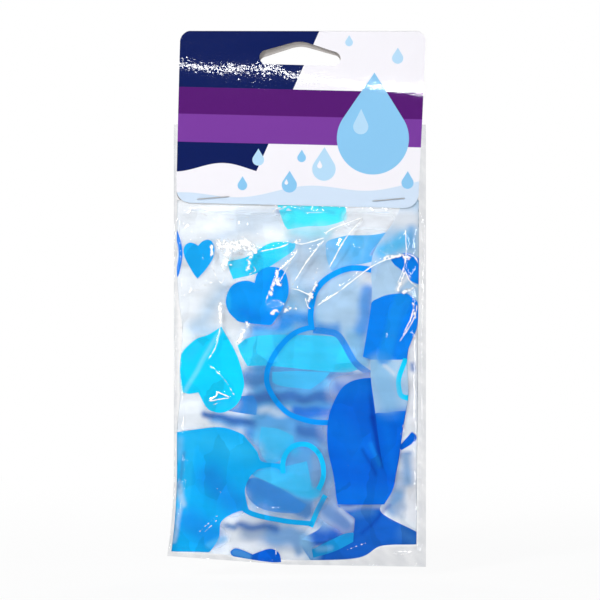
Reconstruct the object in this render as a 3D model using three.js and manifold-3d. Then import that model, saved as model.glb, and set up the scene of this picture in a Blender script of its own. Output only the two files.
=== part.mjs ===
// A film shower cap folded flat in its hang pack: a printed card, folded over the mouth of a clear film bag
// and stapled through. The cap lies pleated inside the bag with its elastic loop between the pleats.
// Millimetres, +Z up, printed front towards -Y. The origin is where a display peg carries the pack: the peak
// of the hang slot, midway between the card's two panels.
import * as THREE from "three";
import { mergeVertices } from "three/addons/utils/BufferGeometryUtils.js";
import Module from "manifold-3d";

// Header card, one board folded over along its top edge
const cardWidth = 97;
const cardHeight = 69;
const boardThickness = 0.4;
const cardTopCorner = 4.4;
const cardBottomCorner = 5.4;
const cardTilt = 1.4; // degrees clockwise: the card was stapled on a little askew
const cardOffset = 1; // the card's middle lies this far to the right of its slot's

// Hang slot: flat bottom, round ends and a low peak that centres itself on a peg
const slotWidth = 32;
const slotHeight = 9.2;
const slotEndRadius = 2.8;
const slotCrest = 4; // half the width of the rounded crest
const slotDrop = 4.4; // from the card's top edge down to the slot's peak

// Clear bag, a flattened film tube with a sealed bottom
const bagWidth = 100;
const bagFilm = 0.15;
const bagInCard = 32; // length of film between the card's panels
const pouchLength = 140; // from the bend under the card to the bottom seal
const pouchThickness = 9;
const pouchShoulder = 14; // height over which the pouch swells from flat below the card
const pouchFoot = 18; // height over which it flattens again above the seal
const sealHeight = 2;

// Bend where the limp film leaves the stiff card
const bendDrop = 1; // below the card's lowest corner
const bendRelief = 0.25; // film left out on each side of the bend

// Office staples, crown in front and legs clinched inwards behind
const stapleCrown = 13;
const stapleClinch = 4.2;
const stapleWire = 0.5;
const stapleBend = 0.5;
const leftStapleInset = 14.6; // from the card's side edge to the staple's middle
const rightStapleInset = 13.2;
const leftStapleRise = 2.2; // from the card's lower edge to the staple's middle
const rightStapleRise = 3.2;
const stapleTilt = 6.2; // degrees anticlockwise on the card

// Cap film, pleated across the bag with one narrow flap folded over in front
const capFilm = 0.15;
const capPleats = 8; // full widths of film behind the flap
const capWidth = 93;
const capFlap = 18.2;
const capTopGap = 8; // below the bend
const capFootGap = 9; // above the bottom seal's edge

// Elastic loop, relaxed, lying flat between two pleats
const elasticWidth = 2;
const elasticThickness = 0.3;
const elasticLoopWidth = 80;
const elasticLoopHeight = 92;
const elasticLoopCorner = 26;
const elasticDrop = 70; // from the bend down to the loop's middle

// Clearances between pieces that touch on the real pack
const seatGap = 0.1; // film against card, film against film
const crownSeat = 0.05; // staple wire against the board
const pierceGap = 0.15; // round a staple's leg
const packGap = 0.3; // pleated cap inside the bag

// Facets
const bagSteps = 20;
const shoulderSteps = 6;
const pleatSteps = 6;
const flapSteps = 2;
const foldSteps = 3;
const pleatStations = 7;
const cornerSteps = 8;
const wireSides = 8;
const wireBendSteps = 3;

// Worked out from the driving dimensions
const panelGap = 2 * bagFilm + 3 * seatGap;
const cardHalf = panelGap / 2 + boardThickness;
const cardTop = slotDrop;
const cardBottom = cardTop - cardHeight;
const tilt = THREE.MathUtils.degToRad(cardTilt);
const cardRight = cardOffset + cardWidth / 2;
const cardLeft = cardOffset - cardWidth / 2;
const lowestCorner = cardBottom * Math.cos(tilt) - cardRight * Math.sin(tilt);
const bendZ = lowestCorner - bendDrop;
const mouthTop = cardBottom + bagInCard;
const pouchBottom = bendZ - pouchLength;
const flatHalf = bagFilm + seatGap / 2;

const wasm = await Module();
wasm.setup();

// Booleans on three.js geometry

function toSolid(geometry) {
  const bare = new THREE.BufferGeometry();
  bare.setAttribute("position", geometry.getAttribute("position").clone());
  bare.setIndex(geometry.getIndex());
  const merged = mergeVertices(bare, 1e-4);
  const mesh = new wasm.Mesh({
    numProp: 3,
    vertProperties: new Float32Array(merged.getAttribute("position").array),
    triVerts: new Uint32Array(merged.getIndex().array),
  });
  return new wasm.Manifold(mesh);
}

function toGeometry(solid) {
  const mesh = solid.getMesh();
  const geometry = new THREE.BufferGeometry();
  geometry.setAttribute("position", new THREE.BufferAttribute(mesh.vertProperties, 3));
  geometry.setIndex(new THREE.BufferAttribute(mesh.triVerts, 1));
  geometry.computeVertexNormals();
  return geometry;
}

// Extrudes a shape drawn in X and Z along Y, centred on the plane Y = 0
function extrudeAlongY(shape, depth, curveSegments) {
  const geometry = new THREE.ExtrudeGeometry(shape, { depth, curveSegments, bevelEnabled: false });
  geometry.translate(0, 0, -depth / 2);
  geometry.rotateX(Math.PI / 2);
  return geometry;
}

// Lofts of thin sections. A ring runs along the front of a section and back along its rear, anticlockwise
// seen from above, so that point i in front lies opposite point i counted from the ring's end.

function geometryFrom(points, triangles) {
  const geometry = new THREE.BufferGeometry().setFromPoints(points);
  geometry.setIndex(triangles);
  geometry.computeVertexNormals();
  return geometry;
}

// Walls between rings that climb in Z; inward turns the wall to face the hollow inside
function addWalls(points, triangles, rings, inward) {
  const count = rings[0].length;
  const first = points.length;
  rings.forEach((ring) => points.push(...ring));
  for (let level = 0; level + 1 < rings.length; level++) {
    for (let i = 0; i < count; i++) {
      const next = (i + 1) % count;
      const a = first + level * count + i;
      const b = first + level * count + next;
      const c = b + count;
      const d = a + count;
      if (inward) triangles.push(a, c, b, a, d, c);
      else triangles.push(a, b, c, a, c, d);
    }
  }
  return { bottom: first, top: first + (rings.length - 1) * count, count };
}

function addLid(triangles, first, count, facingUp) {
  for (let i = 0; i + 1 < count / 2; i++) {
    const a = first + i;
    const b = first + i + 1;
    const c = first + count - 2 - i;
    const d = first + count - 1 - i;
    if (facingUp) triangles.push(a, b, c, a, c, d);
    else triangles.push(a, c, b, a, d, c);
  }
}

function addRim(triangles, outer, inner, count, facingUp) {
  for (let i = 0; i < count; i++) {
    const next = (i + 1) % count;
    const [a, b, c, d] = [outer + i, outer + next, inner + next, inner + i];
    if (facingUp) triangles.push(a, b, c, a, c, d);
    else triangles.push(a, c, b, a, d, c);
  }
}

// Values from -1 to 1, closer together towards the ends
function spread(steps) {
  return Array.from({ length: steps + 1 }, (_, i) => Math.sin(((2 * i) / steps - 1) * (Math.PI / 2)));
}

// Header card

function cardOutline() {
  const shape = new THREE.Shape();
  const [top, bottom] = [cardTop, cardBottom];
  const [upper, lower] = [cardTopCorner, cardBottomCorner];
  shape.moveTo(cardLeft + lower, bottom);
  shape.lineTo(cardRight - lower, bottom);
  shape.absarc(cardRight - lower, bottom + lower, lower, -Math.PI / 2, 0);
  shape.lineTo(cardRight, top - upper);
  shape.absarc(cardRight - upper, top - upper, upper, 0, Math.PI / 2);
  shape.lineTo(cardLeft + upper, top);
  shape.absarc(cardLeft + upper, top - upper, upper, Math.PI / 2, Math.PI);
  shape.lineTo(cardLeft, bottom + lower);
  shape.absarc(cardLeft + lower, bottom + lower, lower, Math.PI, 1.5 * Math.PI);
  return shape;
}

// The slanted upper edges are tangents from a point above the crest to the end rounds
function slotOutline() {
  const endX = slotWidth / 2 - slotEndRadius;
  const endZ = slotEndRadius - slotHeight;
  const slope = (slotHeight - 2 * slotEndRadius) / endX;
  const apex = (slope * slotCrest) / 2;
  const toEnd = Math.hypot(endX, endZ - apex);
  const slant = Math.atan2(endZ - apex, endX) + Math.asin(slotEndRadius / toEnd);
  const reach = Math.sqrt(toEnd ** 2 - slotEndRadius ** 2);
  const touchX = reach * Math.cos(slant);
  const touchZ = apex + reach * Math.sin(slant);
  const crestZ = apex + slotCrest * Math.tan(slant);
  const turn = slant + Math.PI / 2;
  const shape = new THREE.Shape();
  shape.moveTo(-endX, -slotHeight);
  shape.lineTo(endX, -slotHeight);
  shape.absarc(endX, endZ, slotEndRadius, -Math.PI / 2, turn);
  shape.lineTo(touchX, touchZ);
  shape.lineTo(slotCrest, crestZ);
  shape.quadraticCurveTo(0, apex, -slotCrest, crestZ);
  shape.lineTo(-touchX, touchZ);
  shape.absarc(-endX, endZ, slotEndRadius, Math.PI - turn, 1.5 * Math.PI);
  return shape;
}

// Section of the folded board: two panels joined by a round fold at the top
function foldedBoard() {
  const inner = panelGap / 2;
  const foldZ = cardTop - cardHalf;
  const shape = new THREE.Shape();
  shape.moveTo(-cardHalf, cardBottom);
  shape.lineTo(-inner, cardBottom);
  shape.lineTo(-inner, foldZ);
  shape.absarc(0, foldZ, inner, Math.PI, 0, true);
  shape.lineTo(inner, cardBottom);
  shape.lineTo(cardHalf, cardBottom);
  shape.lineTo(cardHalf, foldZ);
  shape.absarc(0, foldZ, cardHalf, 0, Math.PI);
  const geometry = new THREE.ExtrudeGeometry(shape, {
    depth: cardWidth,
    curveSegments: cornerSteps,
    bevelEnabled: false,
  });
  geometry.rotateX(Math.PI / 2);
  geometry.rotateZ(Math.PI / 2);
  geometry.translate(cardLeft, 0, 0);
  return geometry;
}

const stapleMiddles = [
  new THREE.Vector3(cardLeft + leftStapleInset, 0, cardBottom + leftStapleRise),
  new THREE.Vector3(cardRight - rightStapleInset, 0, cardBottom + rightStapleRise),
];
const stapleHalf = (stapleCrown - stapleWire) / 2;

// Places a staple, or the holes for its legs, on the card
function stapleMatrix(middle) {
  const turned = new THREE.Matrix4().makeRotationY(-THREE.MathUtils.degToRad(stapleTilt));
  return turned.setPosition(middle);
}

// Drills for the four legs, in the card's own frame
function legDrills() {
  const drills = stapleMiddles.flatMap((middle) =>
    [-stapleHalf, stapleHalf].map((x) => {
      const radius = stapleWire / 2 + pierceGap;
      const drill = new THREE.CylinderGeometry(radius, radius, 4 * cardHalf, 12);
      return toSolid(drill.translate(x, 0, 0).applyMatrix4(stapleMatrix(middle)));
    }),
  );
  return drills.reduce((all, one) => all.add(one));
}

function headerCard() {
  const board = toSolid(foldedBoard());
  const outline = toSolid(extrudeAlongY(cardOutline(), 4 * cardHalf, cornerSteps));
  const slot = toSolid(extrudeAlongY(slotOutline(), 6 * cardHalf, cornerSteps));
  return toGeometry(board.intersect(outline).subtract(slot).subtract(legDrills()));
}

// Staples: round wire swept along crown, legs and clinched tips

function filleted(corners, radius, steps) {
  const path = [corners[0]];
  for (let i = 1; i + 1 < corners.length; i++) {
    const before = corners[i - 1].clone().sub(corners[i]).normalize();
    const after = corners[i + 1].clone().sub(corners[i]).normalize();
    const centre = corners[i].clone().addScaledVector(before, radius).addScaledVector(after, radius);
    for (let k = 0; k <= steps; k++) {
      const turn = ((k / steps) * Math.PI) / 2;
      const point = centre.clone().addScaledVector(after, -radius * Math.cos(turn));
      path.push(point.addScaledVector(before, -radius * Math.sin(turn)));
    }
  }
  path.push(corners[corners.length - 1]);
  return path;
}

function stapleGeometry() {
  const depth = cardHalf + crownSeat + stapleWire / 2;
  const tip = stapleHalf - stapleClinch;
  const corners = [
    [-tip, depth],
    [-stapleHalf, depth],
    [-stapleHalf, -depth],
    [stapleHalf, -depth],
    [stapleHalf, depth],
    [tip, depth],
  ].map(([x, y]) => new THREE.Vector3(x, y, 0));
  const path = filleted(corners, stapleBend, wireBendSteps);
  const points = [];
  const triangles = [];
  path.forEach((point, i) => {
    const ahead = path[Math.min(i + 1, path.length - 1)];
    const behind = path[Math.max(i - 1, 0)];
    const along = ahead.clone().sub(behind).normalize();
    const side = new THREE.Vector3(along.y, -along.x, 0);
    for (let k = 0; k < wireSides; k++) {
      const turn = (2 * Math.PI * (k + 0.5)) / wireSides;
      const spot = point.clone().addScaledVector(side, (stapleWire / 2) * Math.cos(turn));
      spot.z += (stapleWire / 2) * Math.sin(turn);
      points.push(spot);
    }
  });
  for (let i = 0; i + 1 < path.length; i++) {
    for (let k = 0; k < wireSides; k++) {
      const a = i * wireSides + k;
      const b = i * wireSides + ((k + 1) % wireSides);
      triangles.push(a, a + wireSides, b + wireSides, a, b + wireSides, b);
    }
  }
  const last = (path.length - 1) * wireSides;
  for (let k = 1; k + 1 < wireSides; k++) {
    triangles.push(0, k, k + 1, last, last + k + 1, last + k);
  }
  return geometryFrom(points, triangles);
}

// Clear bag

// Rises from 0 to 1 and levels out
function ramp(share) {
  const t = Math.min(1, Math.max(0, share));
  return 1 - (1 - t) ** 2;
}

// Half the bag's outer thickness at a place on it: flat film plus a pillow below the bend
function bagHalf(x, z) {
  const crown = Math.sqrt(Math.max(0, 1 - ((2 * x) / bagWidth) ** 6));
  const swell = ramp((bendZ - z) / pouchShoulder) * ramp((z - pouchBottom) / pouchFoot);
  return flatHalf + (pouchThickness / 2 - flatHalf) * swell * crown;
}

function bagRing(z, inset) {
  const front = spread(bagSteps).map((share) => {
    const y = inset - bagHalf((share * bagWidth) / 2, z);
    return new THREE.Vector3(share * (bagWidth / 2 - inset), y, z);
  });
  const rear = front.map((point) => new THREE.Vector3(point.x, -point.y, z));
  return [...front, ...rear.reverse()];
}

// Film sleeve between the card's panels, open at both ends
function bagMouth() {
  const points = [];
  const triangles = [];
  const heights = [bendZ + bendRelief, mouthTop];
  const outer = addWalls(points, triangles, heights.map((z) => bagRing(z, 0)), false);
  const inner = addWalls(points, triangles, heights.map((z) => bagRing(z, bagFilm)), true);
  addRim(triangles, outer.bottom, inner.bottom, outer.count, false);
  addRim(triangles, outer.top, inner.top, outer.count, true);
  const tilted = new THREE.Matrix4().makeRotationY(tilt);
  const drills = toSolid(toGeometry(legDrills()).applyMatrix4(tilted));
  return toGeometry(toSolid(geometryFrom(points, triangles)).subtract(drills));
}

// Film pillow below the bend, open upwards into the sleeve and sealed at the bottom
function bagPouch() {
  const top = bendZ - bendRelief;
  const floor = pouchBottom + sealHeight;
  const foot = Array.from({ length: shoulderSteps }, (_, i) => {
    return floor + ((pouchFoot - sealHeight) * (i + 1)) / shoulderSteps;
  });
  const shoulder = Array.from({ length: shoulderSteps }, (_, i) => {
    return bendZ - pouchShoulder * (1 - i / shoulderSteps);
  });
  const heights = [floor, ...foot, ...shoulder, top];
  const points = [];
  const triangles = [];
  const outer = addWalls(points, triangles, [pouchBottom, ...heights].map((z) => bagRing(z, 0)), false);
  const inner = addWalls(points, triangles, heights.map((z) => bagRing(z, bagFilm)), true);
  addLid(triangles, outer.bottom, outer.count, false);
  addLid(triangles, inner.bottom, inner.count, true);
  addRim(triangles, outer.top, inner.top, outer.count, true);
  return geometryFrom(points, triangles);
}

// Folded cap

// Half the depth between the middle planes of the cap's front and rear film
function capHalf(x, z) {
  return bagHalf(x, z) - bagFilm - packGap - capFilm / 2;
}

// Depth of a pleat's middle plane; pleat 0 is the flap in front
function pleatDepth(pleat, x, z) {
  return capHalf(x, z) * ((2 * pleat) / capPleats - 1);
}

// Middle line of the pleated film at one height, from the flap's edge to the rear end
function pleatLine(z) {
  const edge = capWidth / 2;
  const across = spread(pleatSteps).map((share) => share * edge);
  const line = [];
  for (let pleat = 0; pleat <= capPleats; pleat++) {
    const heading = pleat % 2 === 0 ? 1 : -1;
    if (pleat === 0) {
      for (let i = 0; i <= flapSteps; i++) {
        const x = edge - capFlap * (1 - i / flapSteps);
        line.push(new THREE.Vector2(x, pleatDepth(0, x, z)));
      }
    } else {
      across.forEach((x) => line.push(new THREE.Vector2(heading * x, pleatDepth(pleat, x, z))));
    }
    if (pleat < capPleats) {
      const [near, far] = [pleatDepth(pleat, edge, z), pleatDepth(pleat + 1, edge, z)];
      for (let i = 1; i < foldSteps; i++) {
        const turn = (i / foldSteps - 0.5) * Math.PI;
        const out = edge + ((far - near) / 2) * Math.cos(turn);
        line.push(new THREE.Vector2(heading * out, (near + far) / 2 + ((far - near) / 2) * Math.sin(turn)));
      }
    }
  }
  return line;
}

function pleatRing(z) {
  const line = pleatLine(z);
  const right = [];
  const left = [];
  line.forEach((point, i) => {
    const ahead = line[Math.min(i + 1, line.length - 1)];
    const behind = line[Math.max(i - 1, 0)];
    const along = ahead.clone().sub(behind).normalize().multiplyScalar(capFilm / 2);
    right.push(new THREE.Vector3(point.x + along.y, point.y - along.x, z));
    left.push(new THREE.Vector3(point.x - along.y, point.y + along.x, z));
  });
  return [...right, ...left.reverse()];
}

function capFilmGeometry() {
  const low = pouchBottom + capFootGap;
  const high = bendZ - capTopGap;
  const heights = spread(pleatStations).map((share) => (low + high) / 2 + (share * (high - low)) / 2);
  const points = [];
  const triangles = [];
  const walls = addWalls(points, triangles, heights.map(pleatRing), false);
  addLid(triangles, walls.bottom, walls.count, false);
  addLid(triangles, walls.top, walls.count, true);
  return geometryFrom(points, triangles);
}

// Flat band round a rounded rectangle, laid between the two pleats nearest the middle
function capElastic() {
  const [spanX, spanZ] = [elasticLoopWidth / 2 - elasticLoopCorner, elasticLoopHeight / 2 - elasticLoopCorner];
  const middleZ = bendZ - elasticDrop;
  const midPleat = Math.floor(capPleats / 2) + 0.5;
  const points = [];
  for (let corner = 0; corner < 4; corner++) {
    const sideX = corner === 0 || corner === 3 ? 1 : -1;
    const sideZ = corner < 2 ? 1 : -1;
    for (let i = 0; i <= cornerSteps; i++) {
      const turn = ((corner + i / cornerSteps) * Math.PI) / 2;
      for (const [across, deep] of [[-1, -1], [1, -1], [1, 1], [-1, 1]]) {
        const radius = elasticLoopCorner + (across * elasticWidth) / 2;
        const x = sideX * spanX + radius * Math.cos(turn);
        const z = middleZ + sideZ * spanZ + radius * Math.sin(turn);
        points.push(new THREE.Vector3(x, pleatDepth(midPleat, x, z) + (deep * elasticThickness) / 2, z));
      }
    }
  }
  const rings = points.length / 4;
  const triangles = [];
  for (let i = 0; i < rings; i++) {
    for (let k = 0; k < 4; k++) {
      const [a, b] = [4 * i + k, 4 * i + ((k + 1) % 4)];
      const [c, d] = [4 * ((i + 1) % rings) + ((k + 1) % 4), 4 * ((i + 1) % rings) + k];
      triangles.push(a, b, c, a, c, d);
    }
  }
  return geometryFrom(points, triangles);
}

// Finishes

const glossBoard = new THREE.MeshStandardMaterial({ color: 0xf3f1f7, roughness: 0.25 });
const stapleSteel = new THREE.MeshStandardMaterial({ color: 0xc9ccd1, roughness: 0.3, metalness: 1 });
const clearFilm = { color: 0xe4e6ea, roughness: 0.12, transparent: true, opacity: 0.3 };
const milkyFilm = { color: 0xcfe6f2, roughness: 0.3, transparent: true, opacity: 0.6 };
const whiteElastic = { color: 0xf4f4f1, roughness: 0.8 };

function piece(name, geometry, material) {
  const mesh = new THREE.Mesh(geometry, material);
  mesh.name = name;
  return mesh;
}

// Assembly

const header = new THREE.Group();
header.rotation.y = tilt;
header.add(piece("header_card", headerCard(), glossBoard));
["staple_left", "staple_right"].forEach((name, i) => {
  const staple = piece(name, stapleGeometry(), stapleSteel.clone());
  staple.applyMatrix4(stapleMatrix(stapleMiddles[i]));
  header.add(staple);
});

const bag = new THREE.Group();
bag.add(piece("bag_mouth", bagMouth(), new THREE.MeshStandardMaterial(clearFilm)));
bag.add(piece("bag_pouch", bagPouch(), new THREE.MeshStandardMaterial(clearFilm)));
bag.add(piece("cap_film", capFilmGeometry(), new THREE.MeshStandardMaterial(milkyFilm)));
bag.add(piece("cap_elastic", capElastic(), new THREE.MeshStandardMaterial(whiteElastic)));

const pack = new THREE.Group();
pack.add(header, bag);

export default pack;
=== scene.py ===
# %% [markdown]
# # A shower cap in its hang pack
# A film shower cap is sold folded in a clear bag, under a printed card that is folded over the bag's
# mouth and stapled. The construction is already solved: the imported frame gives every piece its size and
# place. This lesson dresses that frame: the board, the printed film and the clear bag get real sheets,
# folds and finishes.

# %% Load the frame
import math

import bmesh
import bpy
import numpy as np
from mathutils import Matrix, Quaternion, Vector
from mathutils.geometry import delaunay_2d_cdt
from mathutils.kdtree import KDTree


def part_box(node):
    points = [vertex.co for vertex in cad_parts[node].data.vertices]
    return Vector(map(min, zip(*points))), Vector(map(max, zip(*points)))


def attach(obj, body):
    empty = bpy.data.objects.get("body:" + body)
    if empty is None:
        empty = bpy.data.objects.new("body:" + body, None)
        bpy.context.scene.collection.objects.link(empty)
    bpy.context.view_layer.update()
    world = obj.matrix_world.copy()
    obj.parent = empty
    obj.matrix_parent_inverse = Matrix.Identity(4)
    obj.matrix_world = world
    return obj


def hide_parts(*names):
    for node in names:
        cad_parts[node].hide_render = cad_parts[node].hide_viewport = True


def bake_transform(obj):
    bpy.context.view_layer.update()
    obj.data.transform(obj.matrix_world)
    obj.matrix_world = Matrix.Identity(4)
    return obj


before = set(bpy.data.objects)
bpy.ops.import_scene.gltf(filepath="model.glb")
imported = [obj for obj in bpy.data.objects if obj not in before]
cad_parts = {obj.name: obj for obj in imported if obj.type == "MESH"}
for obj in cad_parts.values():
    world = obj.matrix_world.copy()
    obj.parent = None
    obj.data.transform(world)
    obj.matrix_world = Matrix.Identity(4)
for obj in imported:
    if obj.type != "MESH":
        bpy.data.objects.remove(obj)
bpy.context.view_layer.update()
MM = 0.001

# %% [markdown]
# ## Sizes that several pieces share
# Shapes are worked out in millimetres, as packaging is drawn, and scaled to metres when a mesh is stored.
# X runs to the right, Z up, and the printed front faces -Y. The heights of the bend and of the bag's
# mouth, and the depth of the pouch, come from the frame. Outlines and creases are measured on the
# photograph.

# %% Read heights and widths from the frame
def box_mm(node):
    """The lowest and highest corner of a CAD node, in millimetres."""
    low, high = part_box(node)
    return np.array(low) / MM, np.array(high) / MM


mouth_low, mouth_high = box_mm("bag_mouth")
_, pouch_high = box_mm("bag_pouch")
BEND_Z = (mouth_low[2] + pouch_high[2]) / 2
MOUTH_TOP = mouth_high[2]
POUCH_HALF = pouch_high[1]
print(f"bend at {BEND_Z:.2f} mm, mouth's top at {MOUTH_TOP:.2f} mm, pouch half {POUCH_HALF:.2f} mm deep")

# %% [markdown]
# ## The camera
# The photograph looks straight at the front from about a metre away, with a long lens, so the card's
# sides stay nearly parallel. A frame of 237 mm across at that distance fixes the lens.

# %% Set up the camera
CAMERA_AWAY = 1.0
FRAME_WIDTH = 0.237
FRAME_CENTRE = (-0.00016, -0.1019)
SENSOR = 36.0

camera_data = bpy.data.cameras.new("front_camera")
camera_data.sensor_width = SENSOR
camera_data.lens = SENSOR * CAMERA_AWAY / FRAME_WIDTH
camera = bpy.data.objects.new("front_camera", camera_data)
camera.location = (FRAME_CENTRE[0], -CAMERA_AWAY, FRAME_CENTRE[1])
camera.rotation_euler = (math.radians(90), 0, 0)
bpy.context.scene.collection.objects.link(camera)
bpy.context.scene.camera = camera
print(f"camera: lens {camera_data.lens:.1f} mm")

# %% [markdown]
# ## Small tools for meshes and finishes
# A mesh can be stored from points and faces in one call, and a material is a handful of nodes. One
# function adds any node: settings are set, numbers go on the sockets, and other nodes are linked. A
# second one runs a list of maths steps through it, so that a printed shape reads like its formula.
# Colours are written as on a paint chart and turned to linear light once.

# %% Helpers for nodes and colours
def ink(chart):
    """A colour written as #RRGGBB, as linear light."""
    shares = [int(chart[i:i + 2], 16) / 255 for i in (1, 3, 5)]
    return (*[s / 12.92 if s <= 0.04045 else ((s + 0.055) / 1.055) ** 2.4 for s in shares], 1.0)


def add(tree, kind, inputs=(), **settings):
    """Adds a node with its settings, and fills its live inputs in order, or by name."""
    made = tree.nodes.new("ShaderNode" + kind)
    for name, value in settings.items():
        setattr(made, name, value)
    live = [s for s in made.inputs if s.enabled]
    for name, value in inputs.items() if isinstance(inputs, dict) else enumerate(inputs):
        socket = live[name] if isinstance(name, int) else made.inputs[name]
        if isinstance(value, bpy.types.Node):
            value = next(s for s in value.outputs if s.enabled)
        if isinstance(value, bpy.types.NodeSocket):
            tree.links.new(value, socket)
        elif value is not None:
            socket.default_value = value
    return made


def work_out(tree, known, steps):
    """Adds a maths node for each step (name, kind, operation, inputs) and returns all named results."""
    found = dict(known)
    for name, kind, operation, *inputs in steps:
        given = [found[x] if isinstance(x, str) else x for x in inputs]
        found[name] = add(tree, kind, given, operation=operation)
    return found


def finish(name):
    """A new material and its empty node tree."""
    material = bpy.data.materials.new(name)
    material.use_nodes = True
    material.node_tree.nodes.clear()
    return material, material.node_tree


print("mid grey in linear light:", round(ink("#808080")[0], 3))

# %% Helpers for meshes
def store(name, points, faces, materials, face_slots=None):
    """A new smooth-shaded object from points in millimetres."""
    mesh = bpy.data.meshes.new(name)
    mesh.from_pydata((np.asarray(points) * MM).tolist(), [], faces)
    for material in materials:
        mesh.materials.append(material)
    if face_slots is not None:
        mesh.polygons.foreach_set("material_index", np.asarray(face_slots, np.int32))
    mesh.polygons.foreach_set("use_smooth", np.ones(len(mesh.polygons), bool))
    mesh.update()
    made = bpy.data.objects.new(name, mesh)
    bpy.context.scene.collection.objects.link(made)
    return made


def corners_of(mesh):
    """The mesh's points as an array."""
    flat = np.zeros(len(mesh.vertices) * 3)
    mesh.vertices.foreach_get("co", flat)
    return flat.reshape(-1, 3)


def place_corners(mesh, points):
    """Moves the mesh's points to new places."""
    mesh.vertices.foreach_set("co", np.asarray(points, float).ravel())
    mesh.update()


def write_uv(mesh, name, flat):
    """Stores one flat place for each point, in metres, as a UV map."""
    layer = mesh.uv_layers.new(name=name)
    loops = np.zeros(len(mesh.loops), np.int32)
    mesh.loops.foreach_get("vertex_index", loops)
    layer.data.foreach_set("uv", np.asarray(flat)[loops].ravel())


def select_only(thing):
    """Makes one object the only selected and the active one."""
    bpy.ops.object.select_all(action="DESELECT")
    thing.select_set(True)
    bpy.context.view_layer.objects.active = thing


def apply_modifier(thing, kind, **settings):
    """Adds a modifier, sets it and applies it at once."""
    select_only(thing)
    modifier = thing.modifiers.new(kind.lower(), kind)
    for name, value in settings.items():
        setattr(modifier, name, value)
    bpy.ops.object.modifier_apply(modifier=modifier.name)


def along_line(points, step):
    """A smooth line through given points, sampled at even steps (Catmull-Rom)."""
    knots = np.asarray(points, float)
    padded = np.vstack([2 * knots[0] - knots[1], knots, 2 * knots[-1] - knots[-2]])
    line = [knots[:1]]
    for i in range(len(knots) - 1):
        a, b, c, d = padded[i:i + 4]
        count = max(1, round(float(np.linalg.norm(c - b)) / step))
        t = (np.arange(count) + 1)[:, None] / count
        cubic = (2 * a - 5 * b + 4 * c - d) * t ** 2 + (3 * b - a - 3 * c + d) * t ** 3
        line.append((2 * b + (c - a) * t + cubic) / 2)
    return np.vstack(line)


bow_line = along_line([(0, 0), (5, 2), (10, 0)], 1.0)
print("a smooth line through three points:", len(bow_line), "points")

# %% [markdown]
# ## The pack's pillow
# Below the card the film swells from flat to a 9 mm pillow and flattens again at the seal. One function
# gives half the thickness at any place, and both the bag and the folded cap are hung on it, so they can't
# cross. The bag's left edge flares near the seal and its foot runs a little askew, as hand-packed bags
# do.

# %% The pillow's shape
FLAT_HALF = 0.2
SHOULDER, SHOULDER_HIDDEN = 17.0, 3.0  # the slope under the card, and how much of it the card hides
SWAY, SWAY_RUN = 0.2, 11.0
SMALL_SWAY, SMALL_SWAY_RUN = 0.15, 4.7
FOOT = 18.0  # the slope above the seal
SQUARENESS = 6
BAG_LEFT, BAG_RIGHT = -50.0, 49.6
FLARE, FLARE_FROM = 2.6, -168.0
LEFT_FOOT_Z, MIDDLE_FOOT_Z, RIGHT_FOOT_Z = -203.0, -206.4, -207.3
MIDDLE_FOOT_X = -6.0
LEFT_HEM, RIGHT_HEM = 0.8, 2.0


def ramp(share):
    """Rises from 0 to 1 and levels out."""
    return 1 - (1 - np.clip(share, 0, 1)) ** 2


def ease(share):
    """Rises from 0 to 1 with soft ends."""
    t = np.clip(share, 0, 1)
    return t * t * (3 - 2 * t)


def bag_left(z):
    """The bag's left edge at a height: straight, and flared towards the foot."""
    drop = np.clip((FLARE_FROM - z) / (FLARE_FROM - LEFT_FOOT_Z), 0, 1)
    return BAG_LEFT - FLARE * drop ** 2


def bag_foot(x):
    """The height of the bag's foot, which runs askew."""
    across = [BAG_LEFT - FLARE, MIDDLE_FOOT_X, BAG_RIGHT]
    return np.interp(x, across, [LEFT_FOOT_Z, MIDDLE_FOOT_Z, RIGHT_FOOT_Z])


def pillow(x, z):
    """Half the pack's thickness at a place on its front."""
    low, high = bag_left(z) + LEFT_HEM, BAG_RIGHT - RIGHT_HEM
    across = np.clip(np.abs((2 * x - low - high) / (high - low)), 0, 1)
    slope = SHOULDER * (1 + SWAY * np.sin(x / SWAY_RUN) + SMALL_SWAY * np.sin(x / SMALL_SWAY_RUN + 1))
    swell = ease((BEND_Z + SHOULDER_HIDDEN - z) / slope) * ramp((z - bag_foot(x)) / FOOT)
    return FLAT_HALF + (POUCH_HALF - FLAT_HALF) * swell * np.sqrt(1 - across ** SQUARENESS)


def waves(x, z, seed, count, shortest, longest):
    """A soft random swell from -1 to 1 made of plain waves, the same on each run."""
    draw = np.random.default_rng(seed)
    total = np.zeros_like(x)
    for _ in range(count):
        turn, phase = draw.uniform(0, 2 * np.pi, 2)
        length = draw.uniform(shortest, longest)
        total += np.sin(2 * np.pi * (x * np.cos(turn) + z * np.sin(turn)) / length + phase)
    return total / math.sqrt(count)


print(f"pillow half at the middle: {float(pillow(np.array(0.0), np.array(-135.0))):.2f} mm")

# %% [markdown]
# ## The header card
# The card is one die-cut blank of laminated board, folded over along its top. It could be two plates, but
# then the fold would be missing, so it is made as the printer makes it: a flat blank is cut to shape, the
# hang slot is punched through both panels, and the blank is rolled round the fold line. The front panel
# bows out a little between the fold and the staples, which is what catches the light in a streak.

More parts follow.
